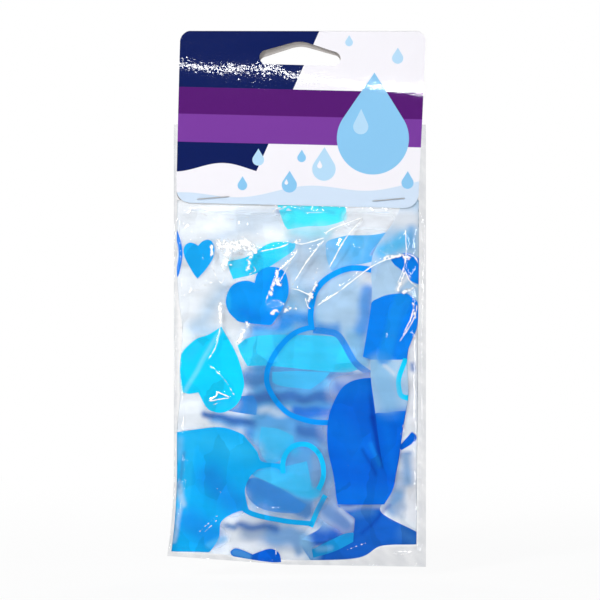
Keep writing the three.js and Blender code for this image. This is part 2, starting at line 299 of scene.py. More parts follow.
# %% Cut the blank
CARD_WIDTH, CARD_HEIGHT, BOARD = 97.0, 69.0, 0.4
CARD_OFFSET = 1.0
CARD_TOP = 4.4
TOP_CORNER, BOTTOM_CORNER = 4.4, 5.4
FOLD_RADIUS = 0.5
FOLD_Z = CARD_TOP - FOLD_RADIUS - BOARD / 2
QUARTER = FOLD_RADIUS * math.pi / 2
BLANK_TOP = FOLD_Z + QUARTER
PANEL = QUARTER + FOLD_Z - (CARD_TOP - CARD_HEIGHT)
CARD_TILT = math.radians(1.4)
FOLD_SKEW = 2.25
RIGHT_TAPER = 1.5
REAR_LONGER = 0.8


def fold_line(x):
    """Where the fold crosses the blank: folded by hand, so it runs askew to the print."""
    return -FOLD_SKEW * np.clip((x - CARD_OFFSET) / CARD_WIDTH, -0.5, 0.5)


# rows of points from the fold to the card's edge: how many, and their spacing
row_runs = [(8, 0.12), (10, 0.5), (34, 1.55), (14, 0.45)]
row_gaps = np.concatenate([np.full(count, gap) for count, gap in row_runs])
rows = np.concatenate([[0], np.cumsum(row_gaps)])
rows *= PANEL / rows[-1]
rows = np.concatenate([-rows[:0:-1], rows])
COLUMNS = 70


def corner_inset(depth, radius):
    """How far a rounded corner draws the side in, at a depth from the edge."""
    near = np.clip(radius - depth, 0, radius)
    return radius - np.sqrt(radius ** 2 - near ** 2)


bpy.ops.object.select_all(action="DESELECT")
bpy.ops.mesh.primitive_grid_add(x_subdivisions=COLUMNS, y_subdivisions=len(rows) - 1, size=2)
card = bpy.context.object
card.name = "header_card_printed"
flat = corners_of(card.data)
skew = fold_line(CARD_OFFSET + flat[:, 0] * CARD_WIDTH / 2)
along = np.interp(flat[:, 1], np.linspace(-1, 1, len(rows)), rows)
reach = np.where(along < 0, PANEL + REAR_LONGER, PANEL) - skew
along *= reach / PANEL
from_top = np.abs(along) + CARD_TOP - BLANK_TOP
inset = corner_inset(np.maximum(from_top, 0), TOP_CORNER)
inset = np.maximum(inset, corner_inset(reach - np.abs(along), BOTTOM_CORNER))
taper = RIGHT_TAPER * np.clip(flat[:, 0], 0, 1) * np.abs(along) / PANEL
flat[:, 0] = CARD_OFFSET + flat[:, 0] * (CARD_WIDTH / 2 - inset) - taper
flat[:, 1] = along + skew
place_corners(card.data, flat)
apply_modifier(card, "SOLIDIFY", thickness=BOARD, offset=0)
print("blank:", len(card.data.vertices), "points,", f"{2 * PANEL:.1f} mm long")

# %% [markdown]
# ### The hang slot
# A punch for the slot is hulled from two round ends and the low crest of a larger disc, which centres the
# pack on a peg. A Boolean then cuts each panel, exactly as one stroke of the die would.

# %% Punch the slot through both panels
SLOT_WIDTH, SLOT_HEIGHT, SLOT_END = 32.0, 9.2, 2.8
CREST_RADIUS, CREST_HALF = 12.0, 3.5
PUNCH_DEPTH = 4.0
REAR_SLOT_DROP = 1.8


def slot_punch(side):
    """A solid punch on the front panel for side 1, and on the rear one, a little lower, for -1."""
    peak = BLANK_TOP if side > 0 else -BLANK_TOP - REAR_SLOT_DROP
    bpy.ops.object.select_all(action="DESELECT")
    bpy.ops.mesh.primitive_cylinder_add(vertices=120, radius=CREST_RADIUS, depth=PUNCH_DEPTH,
                                        location=(0, peak + side * CREST_RADIUS, 0))
    punch = bpy.context.object
    bpy.ops.object.mode_set(mode="EDIT")
    bpy.ops.mesh.select_all(action="SELECT")
    cut = CREST_RADIUS - math.sqrt(CREST_RADIUS ** 2 - CREST_HALF ** 2)
    bpy.ops.mesh.bisect(plane_co=(0, peak + side * cut, 0), plane_no=(0, side, 0), clear_outer=True)
    for hand in (-1, 1):
        spot = (hand * (SLOT_WIDTH / 2 - SLOT_END), peak + side * (SLOT_HEIGHT - SLOT_END), 0)
        bpy.ops.mesh.primitive_cylinder_add(vertices=48, radius=SLOT_END, depth=PUNCH_DEPTH, location=spot)
    bpy.ops.mesh.select_all(action="SELECT")
    bpy.ops.mesh.convex_hull()
    bpy.ops.object.mode_set(mode="OBJECT")
    return punch


for side in (1, -1):
    punch = slot_punch(side)
    apply_modifier(card, "BOOLEAN", object=punch, operation="DIFFERENCE", solver="EXACT")
    bpy.data.objects.remove(punch)
print("card with its slot:", len(card.data.vertices), "points")

# %% [markdown]
# ### The fold
# A bend modifier would stretch the board, and a press doesn't. So each point of the blank is rolled round
# the fold line by its own distance, which keeps the board's length and thickness. The panels then bow out
# between the fold and the staples, and the whole card is tilted, as it was stapled.

# %% Fold the blank and tilt it
FRONT_BOW, REAR_BOW = 1.5, 0.25
BOW_GROWTH, BOW_RIPPLE = 0.3, 0.02
LIP, LIP_RUN = 0.1, 30
STAPLE_ROW = CARD_HEIGHT - 3.0


def bow(x, depth):
    """How far a panel stands off flat: fullest midway, nothing at the fold and at the staples."""
    between = np.sin(np.pi * np.clip(depth / STAPLE_ROW, 0, 1))
    ripple = 1 + BOW_GROWTH * x / CARD_WIDTH + BOW_RIPPLE * waves(x, depth, 3, 4, 24, 45)
    return between * ripple


BEND_HEIGHT, BEND_HALF, BEND_START = 0.1, 6.0, 8
soft_bend = [
    (-47.5, -8.6), (-41.6, -10.3), (-33.7, -10.7), (-23.9, -9.5), (-16.0, -8.3), (-10.4, -9.5), (-0.6, -14.2),
    (15.0, -17.0), (31.4, -20.1), (49.0, -23.4),
]


def bend_rise(x, z):
    """A soft bend across the front panel, from the slot's corner to the right, as handling curls board."""
    bend_x, bend_z = along_line(soft_bend, 1.0).T
    return BEND_HEIGHT * np.exp(-((z - np.interp(x, bend_x, bend_z)) / BEND_HALF) ** 2)


blank = corners_of(card.data)
write_uv(card.data, "blank", np.stack([blank[:, 0], BLANK_TOP - blank[:, 1]], axis=1) * MM)
skew = fold_line(blank[:, 0])
past = blank[:, 1] - skew
turn = np.clip(past, -QUARTER, QUARTER) / FOLD_RADIUS
radius = FOLD_RADIUS + blank[:, 2]
straight = np.maximum(np.abs(past) - QUARTER, 0)
hand = np.sign(past)
lip = LIP * ease((straight - STAPLE_ROW) / (PANEL - STAPLE_ROW)) * np.cos(blank[:, 0] / LIP_RUN) ** 2
stand = np.where(hand > 0, FRONT_BOW, REAR_BOW) * bow(blank[:, 0], straight) + lip
folded_y = -radius * np.sin(turn) - hand * stand
folded_z = FOLD_Z - skew + radius * np.cos(turn) - straight
tilted_x = blank[:, 0] * math.cos(CARD_TILT) + folded_z * math.sin(CARD_TILT)
tilted_z = folded_z * math.cos(CARD_TILT) - blank[:, 0] * math.sin(CARD_TILT)
folded_y -= np.where(hand > 0, bend_rise(tilted_x, tilted_z) * ease(straight / BEND_START), 0)
place_corners(card.data, np.stack([tilted_x, folded_y, tilted_z], axis=1) * MM)
raw_faces = [sum(blank[v, 2] for v in p.vertices) < 1e-4 for p in card.data.polygons]
select_only(card)
bpy.ops.object.shade_smooth_by_angle(angle=math.radians(35))
print("folded card:", [round(v / MM, 1) for v in card.dimensions], "mm")

# %% [markdown]
# ### The print on the card
# Offset print under a gloss laminate: flat inks, sharp edges and a mirror-like skin with a faint
# orange-peel grain that breaks a lamp's reflection into speckles. An image could carry the print, but
# nodes stay sharp at any size. The inks are laid in the blank's own flat coordinates, so the colours run
# over the fold as on a real sheet. Two plain bands cross the card, and the rest is a free design of water
# drops and waves in blues.

# %% A printed water drop as a node group
def new_group(name, sockets, results):
    """An empty node group with named inputs, and its two end nodes."""
    tree = bpy.data.node_groups.new(name, "ShaderNodeTree")
    for label, kind in sockets:
        tree.interface.new_socket(label, in_out="INPUT", socket_type="NodeSocket" + kind)
    for label in results:
        tree.interface.new_socket(label, in_out="OUTPUT", socket_type="NodeSocketFloat")
    given = tree.nodes.new("NodeGroupInput")
    return tree, {s.name: s for s in given.outputs if s.name}, tree.nodes.new("NodeGroupOutput")


def drop_shape():
    """Round below and drawn out to a point above: Mask is 1 inside."""
    tree, known, end = new_group(
        "drop_shape",
        [
            ("Point", "Vector"), ("Centre", "Vector"), ("Radius", "Float"), ("Length", "Float"),
            ("Soft", "Float"),
        ],
        ["Mask"],
    )
    offset = add(tree, "VectorMath", [known["Point"], known["Centre"]], operation="SUBTRACT")
    parts = add(tree, "SeparateXYZ", [offset])
    known.update(x=parts.outputs["X"], y=parts.outputs["Y"])
    made = work_out(tree, known, [
        ("side", "Math", "ABSOLUTE", "x"),
        ("lean", "Math", "DIVIDE", "Radius", "Length"),
        ("lean2", "Math", "MULTIPLY", "lean", "lean"),
        ("rest", "Math", "SUBTRACT", 1.0, "lean2"),
        ("slope", "Math", "SQRT", "rest"),
        ("x_down", "Math", "MULTIPLY", "side", "lean"),
        ("y_up", "Math", "MULTIPLY", "y", "slope"),
        ("above", "Math", "GREATER_THAN", "y_up", "x_down"),
        ("reach", "VectorMath", "LENGTH", offset),
        ("x_out", "Math", "MULTIPLY", "side", "slope"),
        ("flank", "Math", "MULTIPLY_ADD", "y", "lean", "x_out"),
        ("more", "Math", "SUBTRACT", "flank", "reach"),
        ("far", "Math", "MULTIPLY_ADD", "above", "more", "reach"),
        ("outside", "Math", "SUBTRACT", "far", "Radius"),
        ("share", "Math", "DIVIDE", "outside", "Soft"),
        ("mask", "Math", "SUBTRACT", 0.5, "share"),
    ])
    tree.links.new(made["mask"].outputs[0], end.inputs["Mask"])
    return tree


DROP = drop_shape()
print("drop_shape:", len(DROP.nodes), "nodes")

# %% Laminated board
PRINT_EDGE = 0.12 * MM
# the laminate's skin in millimetres: its flecks are drawn coarser than real ones, so that they show
PEEL_GRAIN, PEEL_WAVE, PEEL_WAVE_SHARE = 1.1, 9.0, 1.4
FLECK, FLECK_TILT = 0.7, 0.1
PAPER_WHITE, NAVY, DEEP_PURPLE, PURPLE = "#F4F2F8", "#101F5A", "#571C72", "#7A3D9E"
SKY, PALE_SKY, MIST = "#8CC8F0", "#B7DCF6", "#D3E4F7"
BAND_TOP, BAND_MIDDLE, BAND_END = -18.95, -29.6, -40.65
NAVY_LEAN, NAVY_EDGE, NAVY_PAST_FOLD = 0.42, 5.5, 2.5
# printed waves: millimetres along for each radian, height and level
CREST_RUN, CREST_SWELL, CREST_Z = 6.2, 1.9, -50.5
SHORE_RUN, SHORE_SWELL, SHORE_Z = 8.1, 1.6, -58.6
SHORE_SHIFT, SHORE_RISE = 1.1, 0.075
drops = [
    # centre x, centre z, radius, length, ink
    (29.5, -37.5, 14.2, 26.0, SKY),
    (10.5, -50.0, 4.6, 8.6, PALE_SKY),
    (-3.0, -56.6, 3.0, 5.6, SKY),
    (-15.5, -47.0, 2.3, 4.4, PALE_SKY),
    (1.6, -45.8, 1.7, 3.2, SKY),
    (-21.5, -57.2, 1.9, 3.6, SKY),
    (43.6, -54.6, 2.4, 4.6, SKY),
    (19.2, 0.2, 1.5, 2.9, PALE_SKY),
    (38.5, -5.6, 2.2, 4.2, PALE_SKY),
]
glints = [
    (24.6, -33.0, 3.0, 7.0, PALE_SKY),
    (8.8, -48.8, 1.0, 2.2, PAPER_WHITE),
    (-4.2, -55.8, 0.7, 1.5, PAPER_WHITE),
]


def laminated_board():
    """Coated board under a gloss film: saturated inks, a mirror skin and a fine orange-peel grain."""
    material, tree = finish("gloss_laminated_board")
    spot = add(tree, "UVMap", uv_map="blank")
    parts = add(tree, "SeparateXYZ", [spot])
    x, h = parts.outputs["X"], parts.outputs["Y"]
    known = work_out(tree, {"x": x, "h": h}, [
        ("lean", "Math", "MULTIPLY_ADD", "h", -NAVY_LEAN, "x"),
        ("right_of", "Math", "SUBTRACT", "lean", NAVY_EDGE * MM),
        ("phase", "Math", "MULTIPLY", "x", 1 / (CREST_RUN * MM)),
        ("swell", "Math", "SINE", "phase"),
        ("crest", "Math", "MULTIPLY_ADD", "swell", CREST_SWELL * MM, CREST_Z * MM),
        ("under", "Math", "SUBTRACT", "crest", "h"),
        ("out", "Math", "MAXIMUM", "right_of", "under"),
        ("past_fold", "Math", "SUBTRACT", "h", (BLANK_TOP + NAVY_PAST_FOLD) * MM),
        ("off", "Math", "MAXIMUM", "out", "past_fold"),
        ("share", "Math", "DIVIDE", "off", PRINT_EDGE),
        ("navy", "Math", "SUBTRACT", 0.5, "share"),
        ("phase2", "Math", "MULTIPLY_ADD", "x", 1 / (SHORE_RUN * MM), SHORE_SHIFT),
        ("swell2", "Math", "SINE", "phase2"),
        ("shore", "Math", "MULTIPLY_ADD", "swell2", SHORE_SWELL * MM, SHORE_Z * MM),
        ("rise", "Math", "MULTIPLY_ADD", "x", SHORE_RISE, "shore"),
        ("below", "Math", "SUBTRACT", "rise", "h"),
        ("mist", "Math", "DIVIDE", "below", PRINT_EDGE),
    ])
    colour = add(tree, "Mix", [known["mist"], ink(PAPER_WHITE), ink(MIST)], data_type="RGBA")
    colour = add(tree, "Mix", [known["navy"], colour, ink(NAVY)], data_type="RGBA")
    for top, foot, paint in ((BAND_TOP, BAND_END, PURPLE), (BAND_TOP, BAND_MIDDLE, DEEP_PURPLE)):
        band = work_out(tree, {"h": h}, [
            ("off_middle", "Math", "SUBTRACT", "h", (top + foot) / 2 * MM),
            ("away", "Math", "ABSOLUTE", "off_middle"),
            ("past", "Math", "SUBTRACT", "away", (top - foot) / 2 * MM),
            ("share", "Math", "DIVIDE", "past", -PRINT_EDGE),
        ])
        colour = add(tree, "Mix", [band["share"], colour, ink(paint)], data_type="RGBA")
    for cx, cz, radius, length, paint in drops + glints:
        mask = add(tree, "Group", {
            "Point": spot.outputs[0],
            "Centre": (cx * MM, cz * MM, 0),
            "Radius": radius * MM,
            "Length": length * MM,
            "Soft": PRINT_EDGE,
        }, node_tree=DROP)
        colour = add(tree, "Mix", [mask, colour, ink(paint)], data_type="RGBA")
    place = add(tree, "TexCoord").outputs["Object"]
    peel = add(tree, "TexNoise", {"Vector": place, "Scale": 1 / (PEEL_GRAIN * MM), "Detail": 1.0})
    wave = add(tree, "TexNoise", {"Vector": place, "Scale": 1 / (PEEL_WAVE * MM), "Detail": 2.0})
    height = add(tree, "Math", [wave, PEEL_WAVE_SHARE, peel], operation="MULTIPLY_ADD")
    grain = add(tree, "Bump", {"Strength": 0.3, "Distance": 0.05 * MM, "Height": height})
    fleck = add(tree, "TexVoronoi", {"Vector": place, "Scale": 1 / (FLECK * MM)})
    lean = add(tree, "VectorMath", [fleck.outputs["Color"], (0.5, 0.5, 0.5)], operation="SUBTRACT")
    square = add(tree, "VectorMath", [lean, lean], operation="MULTIPLY")
    steep = add(tree, "VectorMath", [lean, square], operation="MULTIPLY")
    tilted = add(tree, "VectorMath", [steep, (FLECK_TILT,) * 3, grain], operation="MULTIPLY_ADD")
    facing = add(tree, "VectorMath", [tilted], operation="NORMALIZE")
    skin = add(tree, "BsdfPrincipled", {
        "Base Color": colour, "Roughness": 0.05, "IOR": 1.5, "Normal": facing,
    })
    add(tree, "OutputMaterial", {"Surface": skin})
    return material


print("printed drops:", len(drops), "with", len(glints), "glints")

# %% Cut board, and dress the card
PULP = 0.4


def board_core():
    """The raw pulp that shows inside the fold and where the die cut through: grey, partly its own colour and
    partly painted shade for the inside of the slot.
    """
    material, tree = finish("cut_board_core")
    place = add(tree, "TexCoord").outputs["Object"]
    pulp = add(tree, "TexNoise", {"Vector": place, "Scale": 1 / (PULP * MM), "Detail": 4.0})
    # the pulp's grey is partly painted shade, for the board seen inside the slot between the panels
    colour = add(tree, "Mix", [pulp, ink("#A09A97"), ink("#BDB8B5")], data_type="RGBA")
    raw = add(tree, "BsdfPrincipled", {"Base Color": colour, "Roughness": 0.85})
    add(tree, "OutputMaterial", {"Surface": raw})
    return material


card.data.materials.append(laminated_board())
card.data.materials.append(board_core())
card.data.polygons.foreach_set("material_index", np.array(raw_faces, np.int32))
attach(card, "header")
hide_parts("header_card")
print("card finished with", len(card.data.materials[0].node_tree.nodes), "nodes")

# %% [markdown]
# ## The staples
# Two office staples of galvanised wire close the card. Their solids are already right, so they stay, with
# a metal that has drawing marks along the wire.

# %% Galvanised staple wire
MARK_LENGTH, MARK_GAP = 20 / 3, 0.4


def galvanised_wire():
    """Zinc-coated steel: bright, slightly milky, with fine drawing marks."""
    material, tree = finish("galvanised_staple_wire")
    place = add(tree, "TexCoord").outputs["Object"]
    lengthwise, across = 1 / (MARK_LENGTH * MM), 1 / (MARK_GAP * MM)
    stretched = add(tree, "Mapping", {"Vector": place, "Scale": (lengthwise, across, across)})
    marks = add(tree, "TexNoise", {"Vector": stretched, "Scale": 1.0, "Detail": 3.0})
    colour = add(tree, "Mix", [marks, ink("#E2E4E7"), ink("#F8F9FA")], data_type="RGBA")
    rough = add(tree, "MapRange", {"Value": marks, "To Min": 0.6, "To Max": 0.75})
    steel = add(tree, "BsdfPrincipled", {"Base Color": colour, "Metallic": 1.0, "Roughness": rough})
    add(tree, "OutputMaterial", {"Surface": steel})
    return material


wire = galvanised_wire()
for name in ("staple_left", "staple_right"):
    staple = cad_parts[name]
    staple.data.materials.clear()
    staple.data.materials.append(wire)
print("staples:", [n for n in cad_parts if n.startswith("staple")])

# %% [markdown]
# ## Sheets of film
# Film has outlines that follow no grid: a flap's free edge, a drawn-up corner, a crease across the bag,
# the edge of a printed heart. Blender's constrained triangulation fills any outline and keeps the given
# lines as edges, so each layer of film is cut as a flat pattern first and then pushed to its depth by a
# formula.

# %% Lines, outlines and flat sheets
def beside(line, away):
    """A line moved sideways by a distance."""
    run = np.gradient(line, axis=0)
    run /= np.maximum(np.linalg.norm(run, axis=1), 1e-9)[:, None]
    return line + away * np.stack([-run[:, 1], run[:, 0]], axis=1)


def distance_to(points, line):
    """For each point: its distance to a line, and how far along the line it lies, from 0 to 1."""
    best = np.full(len(points), 1e9)
    share = np.zeros(len(points))
    runs = np.linalg.norm(np.diff(line, axis=0), axis=1)
    starts = np.concatenate([[0], np.cumsum(runs)])
    for i, run in enumerate(runs):
        step = line[i + 1] - line[i]
        t = np.clip(((points - line[i]) @ step) / max(run ** 2, 1e-12), 0, 1)
        away = np.linalg.norm(points - line[i] - t[:, None] * step, axis=1)
        closer = away < best
        best[closer] = away[closer]
        share[closer] = (starts[i] + t[closer] * run) / starts[-1]
    return best, share


def inside(points, outline):
    """True for the points that lie within a closed outline."""
    found = np.zeros(len(points), bool)
    for (x0, z0), (x1, z1) in zip(outline, np.roll(outline, -1, axis=0)):
        if z0 != z1:
            crosses = (z0 > points[:, 1]) != (z1 > points[:, 1])
            found ^= crosses & (points[:, 0] < (x1 - x0) * (points[:, 1] - z0) / (z1 - z0) + x0)
    return found


# rows of even triangles, and how far they keep off the given lines, both as shares of the spacing
ROW_STEP, KEEP_OFF = 0.866, 0.55


def cut_sheet(outline, spacing, lines=(), extra=()):
    """Points and triangles that fill an outline. Lines become edges where they lie inside it."""
    fixed, links = [outline], [(i, (i + 1) % len(outline)) for i in range(len(outline))]
    first = len(outline)
    for line in lines:
        within = inside(line, outline)
        fixed.append(line)
        links += [(first + i, first + i + 1) for i in range(len(line) - 1) if within[i] and within[i + 1]]
        first += len(line)
    fixed += [row[inside(row, outline)] for row in extra]
    fixed = np.vstack(fixed)
    near = KDTree(len(fixed))
    for i, (x, z) in enumerate(fixed):
        near.insert((x, z, 0), i)
    near.balance()
    low, high = outline.min(0), outline.max(0)
    columns = np.arange(low[0], high[0], spacing)
    levels = np.arange(low[1], high[1], spacing * ROW_STEP)
    grid = np.array([(x + (j % 2) * spacing / 2, z) for j, z in enumerate(levels) for x in columns])
    grid = grid[inside(grid, outline)]
    clear = [near.find((x, z, 0))[2] > KEEP_OFF * spacing for x, z in grid]
    points = np.vstack([fixed, grid[clear]])
    keep = np.ones(len(points), bool)
    keep[len(outline):] = inside(points[len(outline):], outline)
    number = np.cumsum(keep) - 1
    links = [(int(number[a]), int(number[b])) for a, b in links]
    flat, _, faces, *_ = delaunay_2d_cdt([Vector(p) for p in points[keep]], links, [], 1, 1e-4)
    return np.array([tuple(p) for p in flat]), [tuple(f) for f in faces]


tile = np.array([(0, 0), (10, 0), (10, 10), (0, 10)], float)
print("a square sheet of 10 mm:", len(cut_sheet(tile, 1.0)[1]), "triangles")

# %% [markdown]
# ## The folded cap
# The cap was a disc of printed film, pleated to and fro into the bag: a narrow flap in front, then ten
# full layers. A plain block would show no depth, so every layer is a sheet of its own outline, joined to
# the next by a round fold, and all of them share the pillow's depth. The two front layers have the
# outlines that the photograph shows.

# %% The layers' outlines
LAST_LAYER = 10
FRONT_TOP = BEND_Z + 4.4
INNER_TOP = BEND_Z - 0.9
SIDE_STEP = 1.2
FOLD_INSET, FOLD_SWAY = 0.4, 0.35
RIGHT_INSET = -0.9
FOOT_SAG = 1.2
left_fold = [
    (-48.6, FRONT_TOP), (-48.8, -72.0), (-48.8, -90.0), (-48.0, -102.0), (-46.6, -114.0), (-47.6, -130.0),
    (-47.6, -141.0), (-48.7, -153.0), (-48.8, -173.0), (-49.6, -189.0), (-51.0, -201.2),
]
right_fold = [
    (46.8, FRONT_TOP), (46.8, -84.0), (46.6, -102.0), (46.2, -112.0), (43.9, -118.0), (42.2, -124.0),
    (42.6, -139.0), (41.6, -146.0), (40.4, -153.0), (39.2, -162.0), (37.8, -170.0), (36.4, -176.5),
    (33.0, -182.4),
]
front_foot = [
    [(33.0, -182.4), (24.0, -182.5), (14.4, -182.3)],
    [(14.4, -182.3), (17.5, -184.8), (21.4, -187.9)],
    [(21.4, -187.9), (20.8, -197.2)],
    [(20.8, -197.2), (13.5, -201.0), (5.2, -203.6)],
    [(5.2, -203.6), (-7.0, -205.4), (-14.0, -205.2), (-27.4, -203.0), (-36.5, -201.5), (-51.0, -201.2)],
]
flap_edge = [
    [(41.0, FRONT_TOP), (36.4, -71.4), (28.4, -84.5), (28.0, -102.0), (24.6, -124.2)],
    [(24.6, -124.2), (27.6, -125.4)],
    [(27.6, -125.4), (27.8, -133.5), (29.4, -145.4), (31.0, -158.0), (33.2, -169.5), (36.9, -174.2)],
]


def chain(*lines, step=SIDE_STEP):
    """Joins lines end to end, with each shared corner once."""
    runs = [along_line(points, step) for points in lines]
    return np.vstack([runs[0]] + [run[1:] for run in runs[1:]])


def side_line(layer, hand):
    """The fold or free edge on the left (-1) or right (1) of a layer. A fold is shared by its two layers."""
    if hand < 0:
        pair = (layer - 1) // 2 if layer else 0
        if pair == 0:
            return chain(left_fold)
        inset = FOLD_INSET + FOLD_SWAY * math.sin(2.1 * pair)
        middle = [(x + inset, z) for x, z in left_fold[1:-2]]
        return chain([(-48.0 + inset, INNER_TOP)] + middle + [(-48.8, -199.0)])
    if layer < 2:
        return chain(right_fold)
    inset = FOLD_SWAY * math.sin(1.7 * (layer // 2)) + RIGHT_INSET
    top = FRONT_TOP if layer < 4 else INNER_TOP
    return chain([
        (46.4 + inset, top), (47.0 + inset, -130.0), (46.6 + inset, -170.0), (46.4 + inset, -198.4),
    ])


def layer_outline(layer):
    """A closed outline of one layer."""
    if layer == 0:
        edge, right = chain(*flap_edge), side_line(0, 1)
        right = right[right[:, 1] > edge[-1, 1]]
        return np.vstack([edge, right[::-1]])
    left, right = side_line(layer, -1), side_line(layer, 1)
    top = along_line([left[0], ((left[0] + right[0]) / 2), right[0]], SIDE_STEP)
    if layer == 1:
        foot = chain(*front_foot)
    else:
        sag = FOOT_SAG * math.sin(2.7 * layer)
        foot = chain([
            right[-1], (32.0, -198.9), (21.4, -202.9 + sag), (-8.0, -204.4), (-30.0, -202.4), left[-1],
        ])
    return np.vstack([top, right[1:], foot[1:], left[::-1][1:-1]])


print("front layer's outline:", len(layer_outline(1)), "points; flap's:", len(layer_outline(0)))

# %% [markdown]
# ### The heart print
# The film is milky and see-through, printed with solid and outlined hearts in blue and cyan, and the
# folds cut some of them short. Each printed shape is an outline that is cut into its layer as edges, so
# the print stays sharp at any size and every triangle has one ink. Loops are smooth except at a heart's
# notch and tip, and an outlined heart is a brush line with an even width.

# %% Printed shapes of the front layers
PRINT_STEP = 0.7


def loop(points, corners=(0,)):
    """A closed outline through points, smooth except at the numbered corners."""
    marks = sorted(corners)
    runs = []
    for start, stop in zip(marks, marks[1:] + [marks[0] + len(points)]):
        knots = [points[i % len(points)] for i in range(start, stop + 1)]
        runs.append(along_line(knots, PRINT_STEP)[:-1])
    return np.vstack(runs)


def brush(points, width):
    """The closed outline of a brush line."""
    line = along_line(points, PRINT_STEP)
    return np.vstack([beside(line, width / 2), beside(line, -width / 2)[::-1]])


heart_a = loop([
    (-40.3, -80.5), (-38.9, -79), (-36.6, -78.1), (-34.7, -79.1), (-33.8, -82), (-34.6, -85.6), (-37, -89.5),
    (-40.5, -93.5), (-42.1, -91.5), (-45.2, -86), (-46.1, -82.8), (-45.6, -80.5), (-43.8, -79.3),
    (-41.9, -79.6),
], corners=(0, 7))
heart_b = loop([
    (-18.1, -95.1), (-17, -91.6), (-14.5, -89.5), (-11, -88.8), (-7.5, -89.8), (-5.2, -93), (-5, -100.8),
    (-10.3, -110.3), (-12.1, -111.9), (-23, -110.7), (-25.8, -109.2), (-28.3, -106.4), (-29.4, -102.9),
    (-28.8, -99.4), (-27.2, -96.5), (-24.4, -94.8), (-20.9, -94.3),
], corners=(0, 8))
heart_c = loop([
    (-31.1, -112.4), (-25.1, -123.4), (-22.3, -133.2), (-22.6, -137.7), (-24.3, -142), (-27.2, -144.8),
    (-30.8, -146.3), (-34.3, -145.9), (-37.1, -144.1), (-40.2, -138.3), (-43.8, -138.9), (-46.3, -138.3),
    (-47, -135.7), (-47.6, -126.2), (-46.6, -122.6), (-44.2, -119.8), (-40.6, -117), (-36.4, -115.6),
], corners=(0, 9, 11))
outline_d = [
    brush([
        (4.5, -113.6), (4, -107.8), (5.3, -100.1), (7.3, -96.5), (10.1, -93.7), (14, -91.3), (17.9, -89.8),
        (22.1, -89.3), (27.8, -90), (31.3, -91.3),
    ], 2.3),
    brush([
        (5, -112.7), (2.4, -113.1), (-1.5, -114.5), (-5, -117), (-8.2, -120.5), (-11, -124.8), (-12.8, -129),
        (-13.3, -133.2), (-12.4, -136.8), (-10.3, -140.6), (-7.5, -144.1), (-3.3, -147.3), (5.2, -149.9),
        (14, -150.2),
    ], 2.1),
]
heart_e = loop([
    (32.7, -132.5), (23.5, -132.9), (17.2, -135.7), (13.3, -141.7), (10.8, -149.7), (10.8, -160.3),
    (13, -170.9), (14.2, -180.1), (15.1, -183.5), (26.4, -183.8), (34.5, -183.5), (37.5, -178.7),
    (40, -168), (43, -145.9), (41.9, -136),
], corners=(0, 8, 10))
inside_f = loop([
    (-7.5, -169.8), (-10.3, -167.9), (-17.4, -169.1), (-21.5, -175.1), (-21, -182.2), (-19.1, -185.4),
    (-16, -186.6), (-3.3, -188.9), (3.7, -189.2), (5.9, -184.3), (8.4, -179.7), (7.4, -176.4), (8, -166.7),
    (5.9, -162.4), (2.4, -160), (-1.9, -160.3), (-5, -163.5), (-6.1, -167.4),
], corners=(0, 8))
outline_f = [
    brush([
        (-6.8, -170.2), (-6.9, -166), (-5.7, -162.4), (-3.3, -159.7), (0.3, -158.6), (3.8, -159.3),
        (7, -162.1), (8.7, -166), (9.1, -170.2), (8.4, -173.7), (7, -176.6),
    ], 2.0),
    brush([
        (9.8, -178.7), (6.6, -185), (4, -191.2),
    ], 2.0),
    brush([
        (4.9, -190), (-6.1, -188.9), (-17.4, -186.6), (-22.3, -184.4),
    ], 2.0),
]
heart_g = loop([
    (-51.5, -154.6), (-41.4, -152.9), (-31.5, -152), (-23.7, -154.3), (-20.9, -156.8), (-17, -161.7),
    (-16.3, -163.8), (-14.5, -165.7), (-6.8, -166.4), (-6.8, -169.6), (-10.3, -167.9), (-13.8, -167.9),
    (-17.4, -169.1), (-19.8, -171.6), (-21.5, -175.1), (-21.7, -178.7), (-20.2, -184.9), (-25.1, -185.4),
    (-31.1, -189.2), (-32.2, -195.6), (-35.7, -201.2), (-37.8, -202.8), (-53.3, -202.8),
], corners=(0, 8, 9, 16, 21, 22))
foot_heart = loop([
    (-18.8, -202.3), (-13.1, -200.2), (-10.3, -200.4), (-8.2, -202.3), (-7.4, -206.8), (-16, -206.8),
    (-24.4, -204.8), (-27.6, -201.8), (-26.5, -200.2), (-24.4, -200),
], corners=(0, 4))
corner_piece = loop([
    (4.5, -200.2), (12.3, -196.3), (17.9, -193.8), (22, -193.4), (22, -198), (17.2, -201.5), (5.2, -204.6),
], corners=(0, 3, 4, 6))
left_arc = brush([
    (-50.5, -72.2), (-48.3, -77.5), (-47.3, -83.9), (-48.5, -91), (-49.6, -93),
], 1.5)
flap_shapes = [
    (loop([
        (25.4, -103.8), (33.4, -100.1), (40.5, -99.4), (43.3, -100.1), (46.1, -102.5), (47.5, -107.8),
        (47.5, -113.5), (43.6, -118.6), (44, -121.9), (43.5, -125.4), (23.2, -125.4),
    ], corners=(0, 4, 9, 10)), "flap_blue"),
    (loop([
        (35.5, -86), (41.9, -83.3), (48.2, -86.3), (48.2, -95.3), (46.5, -95.7), (43.3, -94.1), (39.8, -90.2),
        (37.1, -88.1),
    ], corners=(0, 2, 3)), "flap_blue"),
    (brush([
        (41.5, -125), (38.8, -132.5), (38.8, -136.8), (39.8, -139.6), (43.2, -140.8),
    ], 2.0), "cyan"),
    (loop([
        (28, -146.2), (33.4, -146.3), (37.6, -145.7), (43, -145.5), (42, -158), (39, -172), (36, -176),
        (31, -170),
    ], corners=(0, 3, 6)), "royal"),
]
